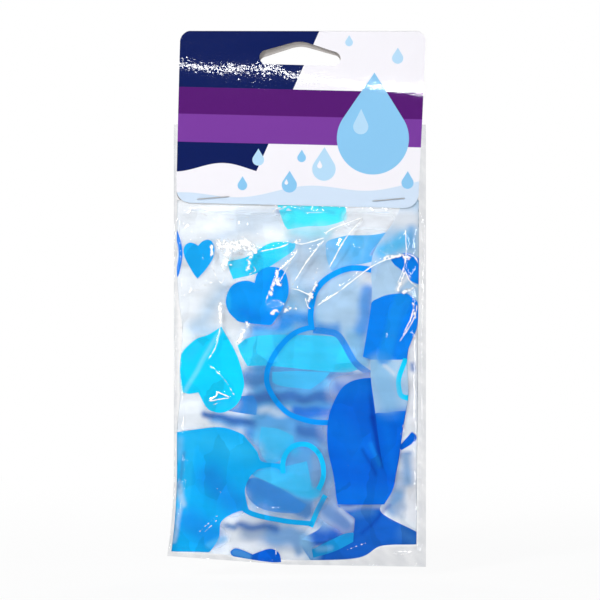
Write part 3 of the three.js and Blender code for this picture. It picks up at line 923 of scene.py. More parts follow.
front_shapes = [
    (left_arc, "flap_blue"), (outline_d[0], "blue"), (outline_d[1], "blue"), (heart_e, "royal"),
    (heart_g, "sea"), (heart_a, "azure"), (heart_b, "blue"), (heart_c, "cyan"), (inside_f, "bare"),
    (outline_f[0], "lagoon"), (outline_f[1], "lagoon"), (outline_f[2], "sea"), (foot_heart, "royal"),
    (corner_piece, "teal"),
]
print("printed shapes:", len(front_shapes), "on the front layer,", len(flap_shapes), "on the flap")

# %% [markdown]
# Deeper layers show through the front one: their print looks soft, because it lies a little behind milky
# film. Some of it is cut as outlines too, and the softest parts are washes of colour, stored as a tint at
# each point of the sheet. Some washes are painted shade, along the flap's edge, under the card and in
# folds, and some are painted light on folds and facets. The rear layer, which only the back of the pack
# shows, gets an even scatter of whole hearts.

# %% Printed shapes of the deeper layers
under_shapes = [
    (loop([
        (-10.3, -60.7), (17, -60.7), (18.3, -69), (16.5, -70.8), (10.1, -72.6), (2.4, -72.9), (-5, -74.1),
        (-6.8, -71.2),
    ], corners=(0, 1, 6)), "ice"),
    (loop([
        (-28.7, -86.7), (-22.3, -85.3), (-17.4, -82.8), (-13.8, -80.3), (-8.9, -78.9), (-1.9, -79.6),
        (-2.6, -82.1), (-6.8, -85.3), (-16, -90.9), (-26.5, -93.7), (-27.9, -90.2),
    ], corners=(0, 5, 9)), "aqua"),
    (loop([
        (-24.8, -119.8), (-20.2, -116.7), (-10.3, -115.6), (4.5, -115.8), (12.3, -116.2), (15.1, -117),
        (23.5, -129.3), (15.1, -130.4), (-11.7, -127.9), (-20.9, -127.9), (-23.4, -123.4),
    ], corners=(0, 5, 6, 9)), "aqua"),
    (loop([
        (12, -181), (34, -179.5), (32, -185.7), (46, -193.5), (48, -196.3), (47, -199.4), (32, -199.4),
        (21.4, -204.6), (4.5, -205.6), (0.3, -197), (8, -191.3),
    ], corners=(0, 1, 4, 8)), "navy"),
    (brush([
        (5, -113.8), (9.5, -114.2), (14.4, -115.4), (17.2, -119), (19.7, -123.6), (22.4, -127.4),
        (27.4, -131),
    ], 2.5), "brook"),
    (loop([
        (-11.1, -130.3), (-1.3, -129.9), (11.7, -130.4), (8.6, -133.8), (3.8, -137.2), (-9.7, -135.1),
    ], corners=(0, 2, 4)), "stream"),
    (loop([
        (-27.5, -139.9), (-18.6, -139.6), (-17.1, -142.5), (-17.4, -147.2), (-22.5, -146.6), (-30.5, -145.2),
    ], corners=(0, 1, 3, 5)), "shade"),
    (loop([
        (-15.5, -151.9), (-8.7, -152.7), (-2.7, -155.6), (-3.1, -160.3), (-6.9, -164.5), (-12.5, -166.1),
        (-16.2, -160.3),
    ], corners=(0, 2)), "stream"),
    (loop([
        (-19.5, -169.6), (-7.8, -167.8), (2.5, -165.4), (4.1, -174.3), (2.8, -177.5), (-6.9, -175.7),
        (-18.1, -171.3),
    ], corners=(0, 2, 4)), "stream"),
    (loop([
        (-21.3, -172.4), (-18.1, -172), (-8.7, -175.7), (2.5, -182.7), (-1.3, -185.9), (-14.3, -184.5),
        (-20.8, -179.4),
    ], corners=(0, 1, 3)), "shade"),
    (loop([
        (18.3, -76.4), (28.6, -76.2), (36, -74.7), (40.7, -74.3), (39.7, -81.1), (28.6, -86.6), (19.2, -88.5),
        (13.2, -90.8), (10.7, -86.6), (10.1, -82.5), (10.8, -78.7),
    ], corners=(0, 3, 4)), "sky"),
    (loop([
        (39.8, -161.2), (39.3, -159.3), (42.6, -155.5), (44, -154), (45.9, -155.9), (44.7, -158.1),
    ], corners=(0,)), "royal"),
]
print("printed shapes on the layer behind:", len(under_shapes))

# %% Hearts on the rear layer
LINE_HEART = 0.8


def whole_heart(notch, tip, size=1.0):
    """A heart curve from its notch to its tip, grown or shrunk about its middle."""
    t = np.linspace(0, 2 * np.pi, 90, endpoint=False)
    side = 16 * np.sin(t) ** 3 / 22 * size
    up = (13 * np.cos(t) - 5 * np.cos(2 * t) - 2 * np.cos(3 * t) - np.cos(4 * t) + 17) / 22
    up = 0.6 + (up - 0.6) * size
    axis = np.subtract(notch, tip)
    across = np.array([axis[1], -axis[0]])
    return np.asarray(tip) + up[:, None] * axis + side[:, None] * across


rear_hearts = [
    ((-28.0, -86.0), (-34.0, -108.0), "sea", False), ((8.0, -80.0), (12.0, -94.0), "blue", False),
    ((33.0, -100.0), (23.0, -126.0), "blue", True), ((-6.0, -118.0), (-11.0, -130.0), "cyan", False),
    ((-29.0, -140.0), (-20.0, -170.0), "royal", False), ((27.0, -150.0), (33.0, -164.0), "blue", False),
    ((5.0, -164.0), (3.0, -186.0), "sea", True), ((-36.0, -184.0), (-31.0, -194.0), "azure", False),
    ((35.0, -181.0), (31.0, -193.0), "cyan", False), ((-41.0, -122.0), (-38.0, -131.0), "blue", False),
]
rear_shapes = []
for notch, tip, name, outlined in rear_hearts:
    rear_shapes.append((whole_heart(notch, tip), name))
    if outlined:
        rear_shapes.append((whole_heart(notch, tip, LINE_HEART), "rear"))
layer_shapes = {0: flap_shapes, 1: front_shapes, 2: under_shapes, LAST_LAYER: rear_shapes}
print("rear hearts:", len(rear_hearts))

# %% Washes of soft colour
# tones for soft print, and for painted shade and painted highlights
wash_tones = {
    "white": "#FFFFFF", "haze": "#EAECF1", "mist": "#C8DBEE", "ash": "#A6BAD6", "pale_sky": "#B2D4F0",
    "sky": "#88C2EA", "glacier": "#A4E8FB", "surf": "#4EDEFF", "cyan": "#2CC2F8", "pool": "#58C0F4",
    "lake": "#57A8E6", "azure": "#1490EA", "steel": "#76A4D4", "slate": "#4484C8", "denim": "#2C6CBC",
    "royal": "#0676E4", "indigo": "#003CB0",
}
# on each layer: start, end, width, tone, strength, and how soft the edge is, in millimetres
washes = {
    0: [
        ((34, -69), (44, -70), 8, "haze", 0.8, 6), ((33, -82.5), (40.5, -78.5), 6, "pool", 0.95, 4.5),
        ((43.9, -74), (43.4, -81), 2.4, "lake", 0.85, 4), ((31, -91), (33, -96), 5, "pale_sky", 0.7, 4),
        ((38.5, -97.5), (42, -93), 1.6, "white", 0.8, 1.5), ((31, -128), (35, -143), 9, "sky", 0.8, 6),
        ((33, -127.5), (37, -131), 1.2, "haze", 0.6, 1.5),
        # painted light: the first entry, a lighter facet across the flap's heart
        ((40, -101.5), (33, -124), 6, "azure", 0.75, 1.8), ((41, -104), (36.5, -124), 1.4, "royal", 0.4, 2),
        ((32, -148), (42, -147), 4, "royal", 0.8, 5), ((34, -152), (36.5, -168), 3, "royal", 0.5, 4),
    ],
    1: [
        # painted shadow: the second entry, a dark line along the flap's edge
        ((20, -70), (34, -71), 6, "haze", 0.6, 5), ((35, -74.4), (28.2, -84.2), 0.8, "denim", 0.8, 1.4),
        ((-43, -66.3), (-8, -68.2), 0.5, "mist", 0.8, 0.8),
        ((-28.8, -99), (-28, -105), 1, "cyan", 0.7, 2.5), ((-22, -107), (-12, -110), 4, "royal", 0.6, 6),
        # painted highlight: a lighter band along a fold across heart C
        ((-31.5, -114), (-46, -138.5), 1, "glacier", 0.55, 2),
        ((-44, -124), (-40, -119), 4, "cyan", 0.5, 5), ((-36, -143), (-26, -143), 4, "cyan", 0.5, 5),
        ((-38, -157), (-20, -162), 6, "cyan", 0.8, 10),
        ((-44.5, -156), (-47.5, -186), 7, "cyan", 0.45, 1.6),
        ((-47, -157), (-48, -164), 2.5, "sky", 0.5, 3), ((-36, -172), (-26, -182), 9, "azure", 0.8, 9),
        ((-44, -189), (-35, -195), 10, "azure", 0.8, 8),
        ((-48.2, -175), (-46.4, -182), 2.6, "pale_sky", 0.8, 2),
        ((-47.6, -184), (-50.2, -197), 1.2, "mist", 0.75, 1.8),
        # painted shade: a dark line in a fold of heart G's left strip
        ((-45.6, -162), (-48.2, -176), 1, "slate", 0.7, 1.6),
        # painted shadow: the indigo line here, and the first one on the next line, lie along the flap's edge
        ((-36, -199), (-30, -196), 2.5, "pool", 0.6, 2), ((27, -134), (28.5, -148), 1, "indigo", 0.9, 2),
        ((28.8, -148), (31.8, -167), 2, "indigo", 0.95, 2.4), ((16, -137), (27, -135), 8, "royal", 0.85, 9),
        ((15, -178), (32, -180), 7, "royal", 0.7, 8), ((14, -152), (22, -160), 10, "royal", 0.6, 10),
        # painted shade in a fold of heart E, and a painted highlight beside it at the start of the next line
        ((24.5, -161), (29.5, -170.5), 1, "indigo", 0.7, 2),
        ((28, -159), (31, -167), 1.6, "azure", 0.6, 2.4), ((9, -184), (18, -190), 7, "slate", 0.85, 5),
        # painted highlight: the first entry, along the edge of a fold
        ((16, -184.5), (20.6, -189), 1.6, "mist", 0.6, 1.5), ((7, -200.5), (12, -199.5), 2, "sky", 0.6, 2),
        ((-26, -201.6), (-21, -203), 3, "lake", 0.7, 2),
    ],
    2: [
        ((-7, -117), (-7, -160), 28, "lake", 1, 9), ((6, -124), (8, -160), 20, "lake", 1, 7),
        ((5, -87), (17, -106), 24, "pale_sky", 1, 9), ((-2, -103), (2, -111), 11, "sky", 1, 7),
        ((-12, -176), (6, -176), 20, "lake", 1, 6), ((12, -160), (9, -186), 12, "steel", 1, 6),
        ((-20, -193), (-10, -195), 9, "ash", 1, 6), ((-10, -194), (0, -196), 9, "steel", 1, 6),
        ((40, -172), (37, -184), 7, "ash", 0.9, 4), ((38, -179), (36.5, -184), 5, "steel", 0.9, 4),
        ((39, -183), (42, -184), 3, "ash", 0.8, 3), ((22, -116), (24, -126), 8, "sky", 1, 5),
        ((-34, -78), (-19, -73.5), 2.5, "mist", 0.8, 6.8), ((-24, -69.5), (-10, -70), 7, "mist", 0.7, 8.5),
        ((-31, -98), (-39, -110), 4, "pale_sky", 0.85, 8.5),
        ((-41, -113), (-36, -114.5), 5, "pale_sky", 0.8, 6.8),
        ((-27.5, -87.5), (-24, -87.5), 4, "glacier", 0.8, 2.5),
        ((-26, -92), (-22, -91.5), 2.5, "pool", 0.8, 2.5), ((-17, -83.5), (-5, -81), 3, "surf", 0.8, 5.1),
        ((-16, -90), (-4, -84.5), 1.5, "cyan", 0.7, 4.2), ((-1, -84), (6, -92), 9, "mist", 0.85, 9),
        ((-3, -75.5), (10, -75), 4, "glacier", 0.9, 5.1),
        ((-2, -73.4), (14, -71.8), 1.5, "glacier", 0.7, 4.2),
        # the first entry: partly a dark fold of the print, partly painted shadow under the card's edge
        ((-9, -66.2), (13, -66.8), 1.2, "slate", 0.9, 2.4), ((26, -84), (38, -77), 5, "lake", 0.8, 6),
        ((22, -84), (29, -81.5), 4, "lake", 0.7, 8.5), ((22.5, -88), (26.5, -76), 1, "pale_sky", 0.5, 3.4),
        ((12, -101), (20, -108), 14, "pale_sky", 0.8, 8), ((7, -112.9), (14, -113.6), 4, "azure", 0.85, 4),
        ((26.5, -98), (24.5, -114), 5, "azure", 0.8, 4), ((20, -117), (25.5, -124), 5, "sky", 0.8, 5.1),
        ((-3, -100.5), (1.5, -104), 4, "pale_sky", 0.8, 5.1),
        ((-7, -110.2), (2, -109.2), 5, "azure", 0.9, 4.4),
        ((-17, -112), (-4, -112.5), 3, "azure", 0.9, 4.2),
        ((-17, -115.2), (-3, -114.4), 2, "pool", 0.8, 4.2), ((-20, -121), (-8, -120), 3, "surf", 0.6, 6.8),
        ((-20, -126.8), (16, -128), 1, "cyan", 0.7, 2.5),
        # painted shadow: a thin dark line across the middle
        ((-22, -129), (20, -130.4), 0.6, "slate", 0.85, 2.4),
        ((-21, -132.6), (-16, -133), 5.5, "slate", 0.9, 3.4),
        ((12, -131.9), (25, -131.6), 2.8, "slate", 0.95, 2.6),
        ((10, -134.8), (14, -136), 3, "pool", 0.9, 3), ((-20, -140), (15, -140.2), 4, "denim", 0.92, 3),
        ((-15, -145.5), (-6, -146), 3.5, "mist", 0.8, 3.4),
        ((-2, -145.8), (11, -146), 4.4, "royal", 0.95, 2.6),
        ((-33, -149), (-17, -151.2), 5, "lake", 0.95, 4), ((-20, -154.5), (-17, -158), 4, "azure", 0.8, 3),
        # painted shade in a crease below heart C
        ((-37.4, -147.3), (-18.8, -150.6), 2.6, "denim", 1, 2.6),
        ((-17, -150.5), (-6, -151.5), 3, "lake", 0.85, 5.1),
        ((-16, -156), (-6, -158), 6.5, "pool", 0.95, 4.1),
        ((-7, -158.6), (-2, -160.6), 4, "cyan", 0.95, 3.4),
        ((-12, -163), (-8, -164.5), 2, "pale_sky", 0.8, 3.4), ((0, -152.5), (9, -156), 5, "denim", 0.9, 4),
        ((9.5, -152), (11, -158), 3, "slate", 0.8, 3.4), ((-12, -170.5), (4, -177), 8, "cyan", 0.97, 2.4),
        ((-17.5, -175.5), (2, -185), 6, "slate", 0.95, 2.5),
        ((-16, -184.2), (0, -187.6), 2.5, "ash", 0.9, 2.5),
        ((5.6, -164), (6.4, -175), 3.4, "steel", 0.9, 2.4),
        ((10, -160), (12.5, -178), 3.5, "steel", 0.9, 3.4),
        ((-30, -190.5), (-27, -192), 2.4, "slate", 0.9, 2.4),
        ((-25, -190.8), (-9.5, -191.6), 2.8, "denim", 0.9, 3.4), ((2, -197), (5, -203), 5, "sky", 0.8, 3.9),
        ((-27, -198.5), (-18, -198.8), 2, "haze", 0.8, 3.4),
        ((-4.4, -193.5), (-1, -201), 3.5, "steel", 0.9, 3.4),
        ((16, -183.6), (32, -183.4), 2, "ash", 0.8, 2.4),
        ((21, -186), (28, -185.5), 2.4, "slate", 0.7, 3.4),
        ((35, -183), (24.5, -194), 0.8, "indigo", 0.8, 2.4),
        ((41, -194), (46, -197.5), 4, "slate", 0.6, 6.8), ((45, -113), (45, -149), 6, "haze", 0.95, 2.5),
        ((45.5, -167), (45.5, -186), 6, "haze", 0.95, 2.5),
        ((40, -163.2), (43, -162.4), 1.2, "denim", 0.8, 2.4),
        ((41.8, -164.5), (42.6, -173), 4, "steel", 0.85, 3.9),
        ((41, -187.2), (37, -184), 2, "ash", 0.8, 3.4),
        ((44.3, -127), (44.6, -129.4), 1.5, "denim", 0.9, 2.4),
        ((47, -86), (47.4, -92), 2, "denim", 0.9, 2.4),
    ],
    3: [
        ((0, -90), (10, -150), 60, "mist", 0.6, 30), ((-20, -170), (30, -190), 30, "pale_sky", 0.6, 20),
    ],
}
print("washes:", sum(len(w) for w in washes.values()), "in", len(wash_tones), "tones")

# %% [markdown]
# ### Depth of a layer
# Each layer lies at its own share of the pillow's depth. Towards a fold it rolls over to meet its
# neighbour halfway, as a bent sheet does. A swell common to all layers keeps them from crossing, and each
# front layer adds small wrinkles of its own.

# %% Push the layers to their depth
CAP_CLEARANCE = 0.5
FOLD_ROLL = 0.9
WANDER_FRONT, WANDER_DEEP = 0.3, 0.55
ridge_line = along_line([(3.6, -164.4), (3.1, -168.6), (4.7, -174.2), (8.2, -177.8), (14.4, -182.3)], 0.7)
fold_rows = [0.3, 0.65, 1.0]
SHOULDER_STEP = 0.9
layer_spacing = {0: 0.9, 1: 0.85, 2: 0.9, LAST_LAYER: 1.3}
DEEP_SPACING, DEEP_HALF = 3.0, 48
SWELL, SWELL_ROOM = 0.5, 0.7
WRINKLE, FINE_WRINKLE, WRINKLE_ROOM = 0.2, 0.08, 0.8
RIDGE_HEIGHT, RIDGE_HALF = 0.45, 0.9


def layer_depth(level, x, z):
    """Depth of a level, and the room that one layer has there."""
    inner = np.maximum(pillow(x, z) - CAP_CLEARANCE, 0.05)
    pitch = 2 * inner / LAST_LAYER
    swell = SWELL * waves(x, z, 11, 5, 26, 60) * np.minimum(pitch, SWELL_ROOM)
    return inner * (2 * level / LAST_LAYER - 1) + swell, pitch


def side_at(line, z):
    """Where a side line crosses a height."""
    return np.interp(z, line[::-1, 1], line[::-1, 0])


def folds_of(layer):
    """The lines where a layer folds over, each with the neighbour that it meets there."""
    if layer == 0:
        return [(side_line(0, 1), 1)]
    hand = -1 if layer % 2 else 1
    folds = [(side_line(layer, -hand), layer - 1)]
    if layer < LAST_LAYER:
        folds.append((side_line(layer, hand), layer + 1))
    return folds


def tint(layer, flat):
    """The washes on a layer, soft print with some painted shade and highlights, as colour and strength at
    each point. Crushed film gives them uneven edges.
    """
    total = np.zeros((len(flat), 4))
    drift = WANDER_DEEP if layer >= 2 else WANDER_FRONT
    wander = np.stack([drift * waves(*flat.T, seed, 6, 7, 24) for seed in (81, 82)], axis=1)
    for start, end, width, tone, strength, soft in washes[min(layer, 3)]:
        away, _ = distance_to(flat + wander, np.array([start, end], float))
        share = strength * ease(0.5 - (away - width / 2) / soft)[:, None]
        total += (np.array(ink(wash_tones[tone])) - total) * share
    total[:, :3] /= np.maximum(total[:, 3:], 1e-6)
    return total


def cap_layer(layer):
    """Points, triangles, flat places and tints of one layer of the folded cap."""
    outline = layer_outline(layer)
    spacing = layer_spacing.get(layer, DEEP_SPACING)
    extra = []
    for line, _ in folds_of(layer):
        inward = 1 if line[0, 0] < 0 else -1
        extra += [line[1:-1] + [inward * share * FOLD_ROLL, 0] for share in fold_rows]
    if spacing > 2 * SHOULDER_STEP:
        across = np.arange(-DEEP_HALF, DEEP_HALF, spacing)
        levels = np.arange(FRONT_TOP, BEND_Z - SHOULDER, -SHOULDER_STEP)
        extra += [np.stack([across, np.full(len(across), z)], axis=1) for z in levels]
    lines = [np.vstack([shape, shape[:1]]) for shape, _ in layer_shapes.get(layer, [])]
    if layer == 1:
        lines.append(ridge_line)
    flat, faces = cut_sheet(outline, spacing, lines, extra)
    x, z = flat[:, 0], flat[:, 1]
    level = np.full(len(x), float(layer))
    for line, neighbour in folds_of(layer):
        near = np.clip(1 - np.abs(x - side_at(line, z)) / FOLD_ROLL, 0, 1)
        level += (1 - np.sqrt(1 - near ** 2)) * (neighbour - layer) / 2
    depth, pitch = layer_depth(level, x, z)
    if layer <= 2:
        small = WRINKLE * waves(x, z, 21 + layer, 8, 7, 18)
        small += FINE_WRINKLE * waves(x, z, 31 + layer, 6, 3.5, 7)
        depth += small * np.clip(pitch, 0, WRINKLE_ROOM) * np.exp(-9 * np.abs(level - layer))
    if layer == 1:
        away, _ = distance_to(flat, ridge_line)
        depth -= RIDGE_HEIGHT * np.exp(-away / RIDGE_HALF) * np.minimum(pitch, WRINKLE_ROOM)
    return np.stack([x, depth, z], axis=1), faces, flat, tint(layer, flat)


layers = [cap_layer(i) for i in range(LAST_LAYER + 1)]
print("cap layers:", [len(layer[1]) for layer in layers], "triangles")

# %% [markdown]
# ### Film and inks
# Soft milky polyethylene film scatters light and lets part of it through. Bare film in front is nearly
# clear, the stack behind it reads white. Ink hides more of what is behind, and takes the same soft satin.
# Crushed film is full of small faces that take the light unevenly, painted here as cells of lighter and
# darker ink: painted light and shade. One recipe makes all of them, with its own colour and cover, and
# the tint of the washes, soft print with some painted shade and highlights, lies over both.

# %% Film and ink finishes
CLOUD, CLOUD_STRETCH = 7.0, 0.35
# the small faces: size, how far and how often their borders sway, how they lean and how narrow they are
FACET, FACET_SWAY, SWAY_EVERY = 8.0, 5.0, 9.0
FACET_LEAN, FACET_NARROW = 0.6, 0.45
# how much painted light and shade the faces put on ink and on bare film, and the cover from which film counts
# as inked
FACET_INK, FACET_FILM, INKED = 0.18, 0.08, 0.97
WASH_COVER = 0.92
CRINKLE = 2.2
SHADE_CAST = 0.55  # thin inked film lets light through to the layers behind, so its shadow is a light one


def soft_film(name, chart, cover, mottle=0.06, wash_share=1.0):
    """Soft cap film, bare or printed: a satin skin over a tinted, partly see-through and mottled body, with
    painted light and shade on its small faces.
    """
    material, tree = finish(name)
    spot = add(tree, "UVMap", uv_map="flat")
    wash = add(tree, "Attribute", attribute_name="wash")
    along = add(tree, "Mapping", {"Vector": spot, "Scale": (CLOUD_STRETCH, 1, 1)})
    cloud = add(tree, "TexNoise", {"Vector": along, "Scale": 1 / (CLOUD * MM), "Detail": 4.0})
    shade = add(tree, "MapRange", {
        "Value": cloud, "From Min": 0.3, "From Max": 0.7, "To Min": 1 - mottle, "To Max": 1 + mottle,
    })
    sway = add(tree, "TexNoise", {"Vector": spot, "Scale": 1 / (SWAY_EVERY * MM), "Detail": 2.0})
    reach = (FACET_SWAY * MM,) * 3
    bent = add(tree, "VectorMath", [sway.outputs["Color"], reach, spot], operation="MULTIPLY_ADD")
    slant = add(tree, "Mapping", {
        "Vector": bent, "Rotation": (0, 0, FACET_LEAN), "Scale": (1, FACET_NARROW, 1),
    })
    facet = add(tree, "TexVoronoi", {"Vector": slant, "Scale": 1 / (FACET * MM)}).outputs["Color"]
    depth = FACET_INK if cover > INKED else FACET_FILM
    tilted = add(tree, "MapRange", {"Value": facet, "To Min": 1 - depth, "To Max": 1 + depth})
    mottle_and_facet_shade = add(tree, "Math", [shade, tilted], operation="MULTIPLY")
    taken = add(tree, "Math", [wash.outputs["Alpha"], wash_share], operation="MULTIPLY")
    flat_ink = add(tree, "Mix", [taken, ink(chart), wash.outputs["Color"]], data_type="RGBA")
    colour = add(tree, "VectorMath", {0: flat_ink, "Scale": mottle_and_facet_shade}, operation="SCALE")
    spread = 0.3 * min(cover, 1 - cover)
    haze = add(tree, "MapRange", {"Value": cloud, "To Min": cover - spread, "To Max": cover + spread})
    body = add(tree, "Mix", [wash.outputs["Alpha"], haze, max(cover, WASH_COVER)])
    shadow = add(tree, "LightPath").outputs["Is Shadow Ray"]
    cast = add(tree, "MapRange", {"Value": shadow, "To Min": 1.0, "To Max": SHADE_CAST})
    alpha = add(tree, "Math", [body, cast], operation="MULTIPLY")
    grain = add(tree, "TexNoise", {"Vector": spot, "Scale": 1 / (CRINKLE * MM), "Detail": 2.0})
    crinkle = add(tree, "Bump", {"Strength": 0.25, "Distance": 0.1 * MM, "Height": grain})
    film = add(tree, "BsdfPrincipled", {
        "Base Color": colour, "Alpha": alpha, "Normal": crinkle,
        "Roughness": 0.45, "Specular IOR Level": 0.02,
    })
    add(tree, "OutputMaterial", {"Surface": film})
    return material


film_recipes = {
    # colour and cover, then mottle and the share of a wash that it takes
    "bare": ("#F8FBFF", 0.02),
    "flap": ("#B4D6F2", 0.85),
    "under": ("#F1F6FB", 0.9, 0.16),
    "deep": ("#CFE2F5", 0.97),
    "rear": ("#F2F7FD", 0.4),
    "azure": ("#14AEFB", 0.99),
    "blue": ("#0A9DFA", 0.99),
    "flap_blue": ("#0686F3", 0.99),
    "royal": ("#0266DC", 0.99),
    "cyan": ("#0CD2FF", 0.985),
    "sea": ("#0BB1F6", 0.985),
    "teal": ("#1C9CE0", 0.98),
    "ice": ("#40ECFF", 0.98, 0.06, 0.5),
    "aqua": ("#1CD2FF", 0.98, 0.14, 0.15),
    "navy": ("#1464CC", 0.98, 0.12),
    "lagoon": ("#14C4FC", 0.985),
    "stream": ("#38C2F8", 0.97, 0.12, 0.15),
    "shade": ("#1E86DC", 0.97, 0.1, 0.3),
    "sky": ("#58BEFA", 0.97, 0.1, 0.4),
    "brook": ("#0E8CEC", 0.98, 0.1, 0.1),
}
film_names = list(film_recipes)
cap_films = [soft_film("polyethylene_film_" + name, *recipe) for name, recipe in film_recipes.items()]
print("cap films:", film_names)

# %% Join the layers to one sheet
def bare_of(layer):
    """The bare film of a layer: clearest in front, denser where light has to return through more film."""
    return {0: "flap", 1: "bare", 2: "under", LAST_LAYER: "rear"}.get(layer, "deep")


points, faces, places, tints, slots = [], [], [], [], []
for layer, (corners, triangles, flat, washed) in enumerate(layers):
    first = sum(len(p) for p in points)
    points.append(corners)
    places.append(flat)
    tints.append(washed)
    order = [0, 2, 1] if layer % 2 == 0 else [0, 1, 2]
    corner_list = np.array(triangles)
    faces += (first + corner_list[:, order]).tolist()
    inked = np.full(len(triangles), film_names.index(bare_of(layer)))
    middles = flat[corner_list].mean(1)
    for shape, name in layer_shapes.get(layer, []):
        inked[inside(middles, shape)] = film_names.index(name)
    slots.append(inked)
cap = store("shower_cap_film", np.vstack(points), faces, cap_films, np.concatenate(slots))
write_uv(cap.data, "flat", np.vstack(places) * MM)
wash_layer = cap.data.color_attributes.new("wash", "FLOAT_COLOR", "POINT")
wash_layer.data.foreach_set("color", np.vstack(tints).ravel())
WELD = 0.002
sheet = bmesh.new()
sheet.from_mesh(cap.data)
bmesh.ops.remove_doubles(sheet, verts=sheet.verts, dist=WELD * MM)
sheet.to_mesh(cap.data)
sheet.free()
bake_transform(cap)
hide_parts("cap_film")
print("cap:", len(cap.data.polygons), "triangles")

# %% [markdown]
# ## The elastic
# A flat band of knitted elastic runs in the cap's hem and lies as a loop between two layers. A bevelled
# curve would twist at the corners, so a flat ring is inset from a disc, drawn to a rounded rectangle and
# given its thickness, with small gathers.

# %% Model the elastic loop
ELASTIC_WIDTH, ELASTIC_THICK = 2.0, 0.3
GATHERS, GATHER_DEPTH = 60, 0.08
RING_INSET, CORNER_POWER = 0.05, 3.2
ELASTIC_LEVEL = 2 * 4.5 / 8 - 1  # between the middle layer and the one behind it
elastic_low, elastic_high = box_mm("cap_elastic")
elastic_middle = (elastic_low + elastic_high) / 2
elastic_half = (elastic_high - elastic_low) / 2
bpy.ops.object.select_all(action="DESELECT")
bpy.ops.mesh.primitive_circle_add(vertices=240, radius=1, fill_type="NGON")
elastic = bpy.context.object
elastic.name = "cap_elastic_band"
bpy.ops.object.mode_set(mode="EDIT")
bpy.ops.mesh.select_all(action="SELECT")
bpy.ops.mesh.inset(thickness=RING_INSET)
bpy.ops.mesh.delete(type="FACE")
bpy.ops.object.mode_set(mode="OBJECT")
ring = corners_of(elastic.data)
angle = np.arctan2(ring[:, 1], ring[:, 0])
outer = np.hypot(ring[:, 0], ring[:, 1]) > 1 - RING_INSET / 2
powers = np.abs(np.cos(angle)) ** CORNER_POWER + np.abs(np.sin(angle)) ** CORNER_POWER
square = powers ** (-1 / CORNER_POWER)
width = np.where(outer, 0, ELASTIC_WIDTH)
loop_x = square * np.cos(angle) * (elastic_half[0] - width)
loop_z = square * np.sin(angle) * (elastic_half[2] - width) + elastic_middle[2]
loop_y = ELASTIC_LEVEL * (pillow(loop_x, loop_z) - CAP_CLEARANCE)
loop_y += GATHER_DEPTH * np.sin(GATHERS * angle)
place_corners(elastic.data, np.stack([loop_x, loop_y, loop_z], axis=1) * MM)
apply_modifier(elastic, "SOLIDIFY", thickness=ELASTIC_THICK * MM, offset=0)
select_only(elastic)
bpy.ops.object.shade_smooth_by_angle(angle=math.radians(40))
print("elastic:", [round(v / MM, 1) for v in elastic.dimensions], "mm")

# %% Knitted elastic
RIB_WAVE = 1.2  # a wave texture of this size in millimetres gives ribs 0.38 mm apart


def knitted_elastic():
    """White polyester knitted over rubber: matt, with fine ribs across the band."""
    material, tree = finish("knitted_elastic")
    place = add(tree, "TexCoord").outputs["Object"]
    ribs = add(tree, "TexWave", {"Vector": place, "Scale": 1 / (RIB_WAVE * MM), "Distortion": 0.6})
    colour = add(tree, "Mix", [ribs, ink("#DAD9D4"), ink("#F5F5F2")], data_type="RGBA")
    weave = add(tree, "Bump", {"Strength": 0.5, "Distance": 0.05 * MM, "Height": ribs.outputs["Fac"]})
    yarn = add(tree, "BsdfPrincipled", {"Base Color": colour, "Roughness": 0.85, "Normal": weave})
    add(tree, "OutputMaterial", {"Surface": yarn})
    return material


elastic.data.materials.append(knitted_elastic())
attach(elastic, "bag")
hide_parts("cap_elastic")
print("elastic finished with", len(elastic.data.polygons), "faces")
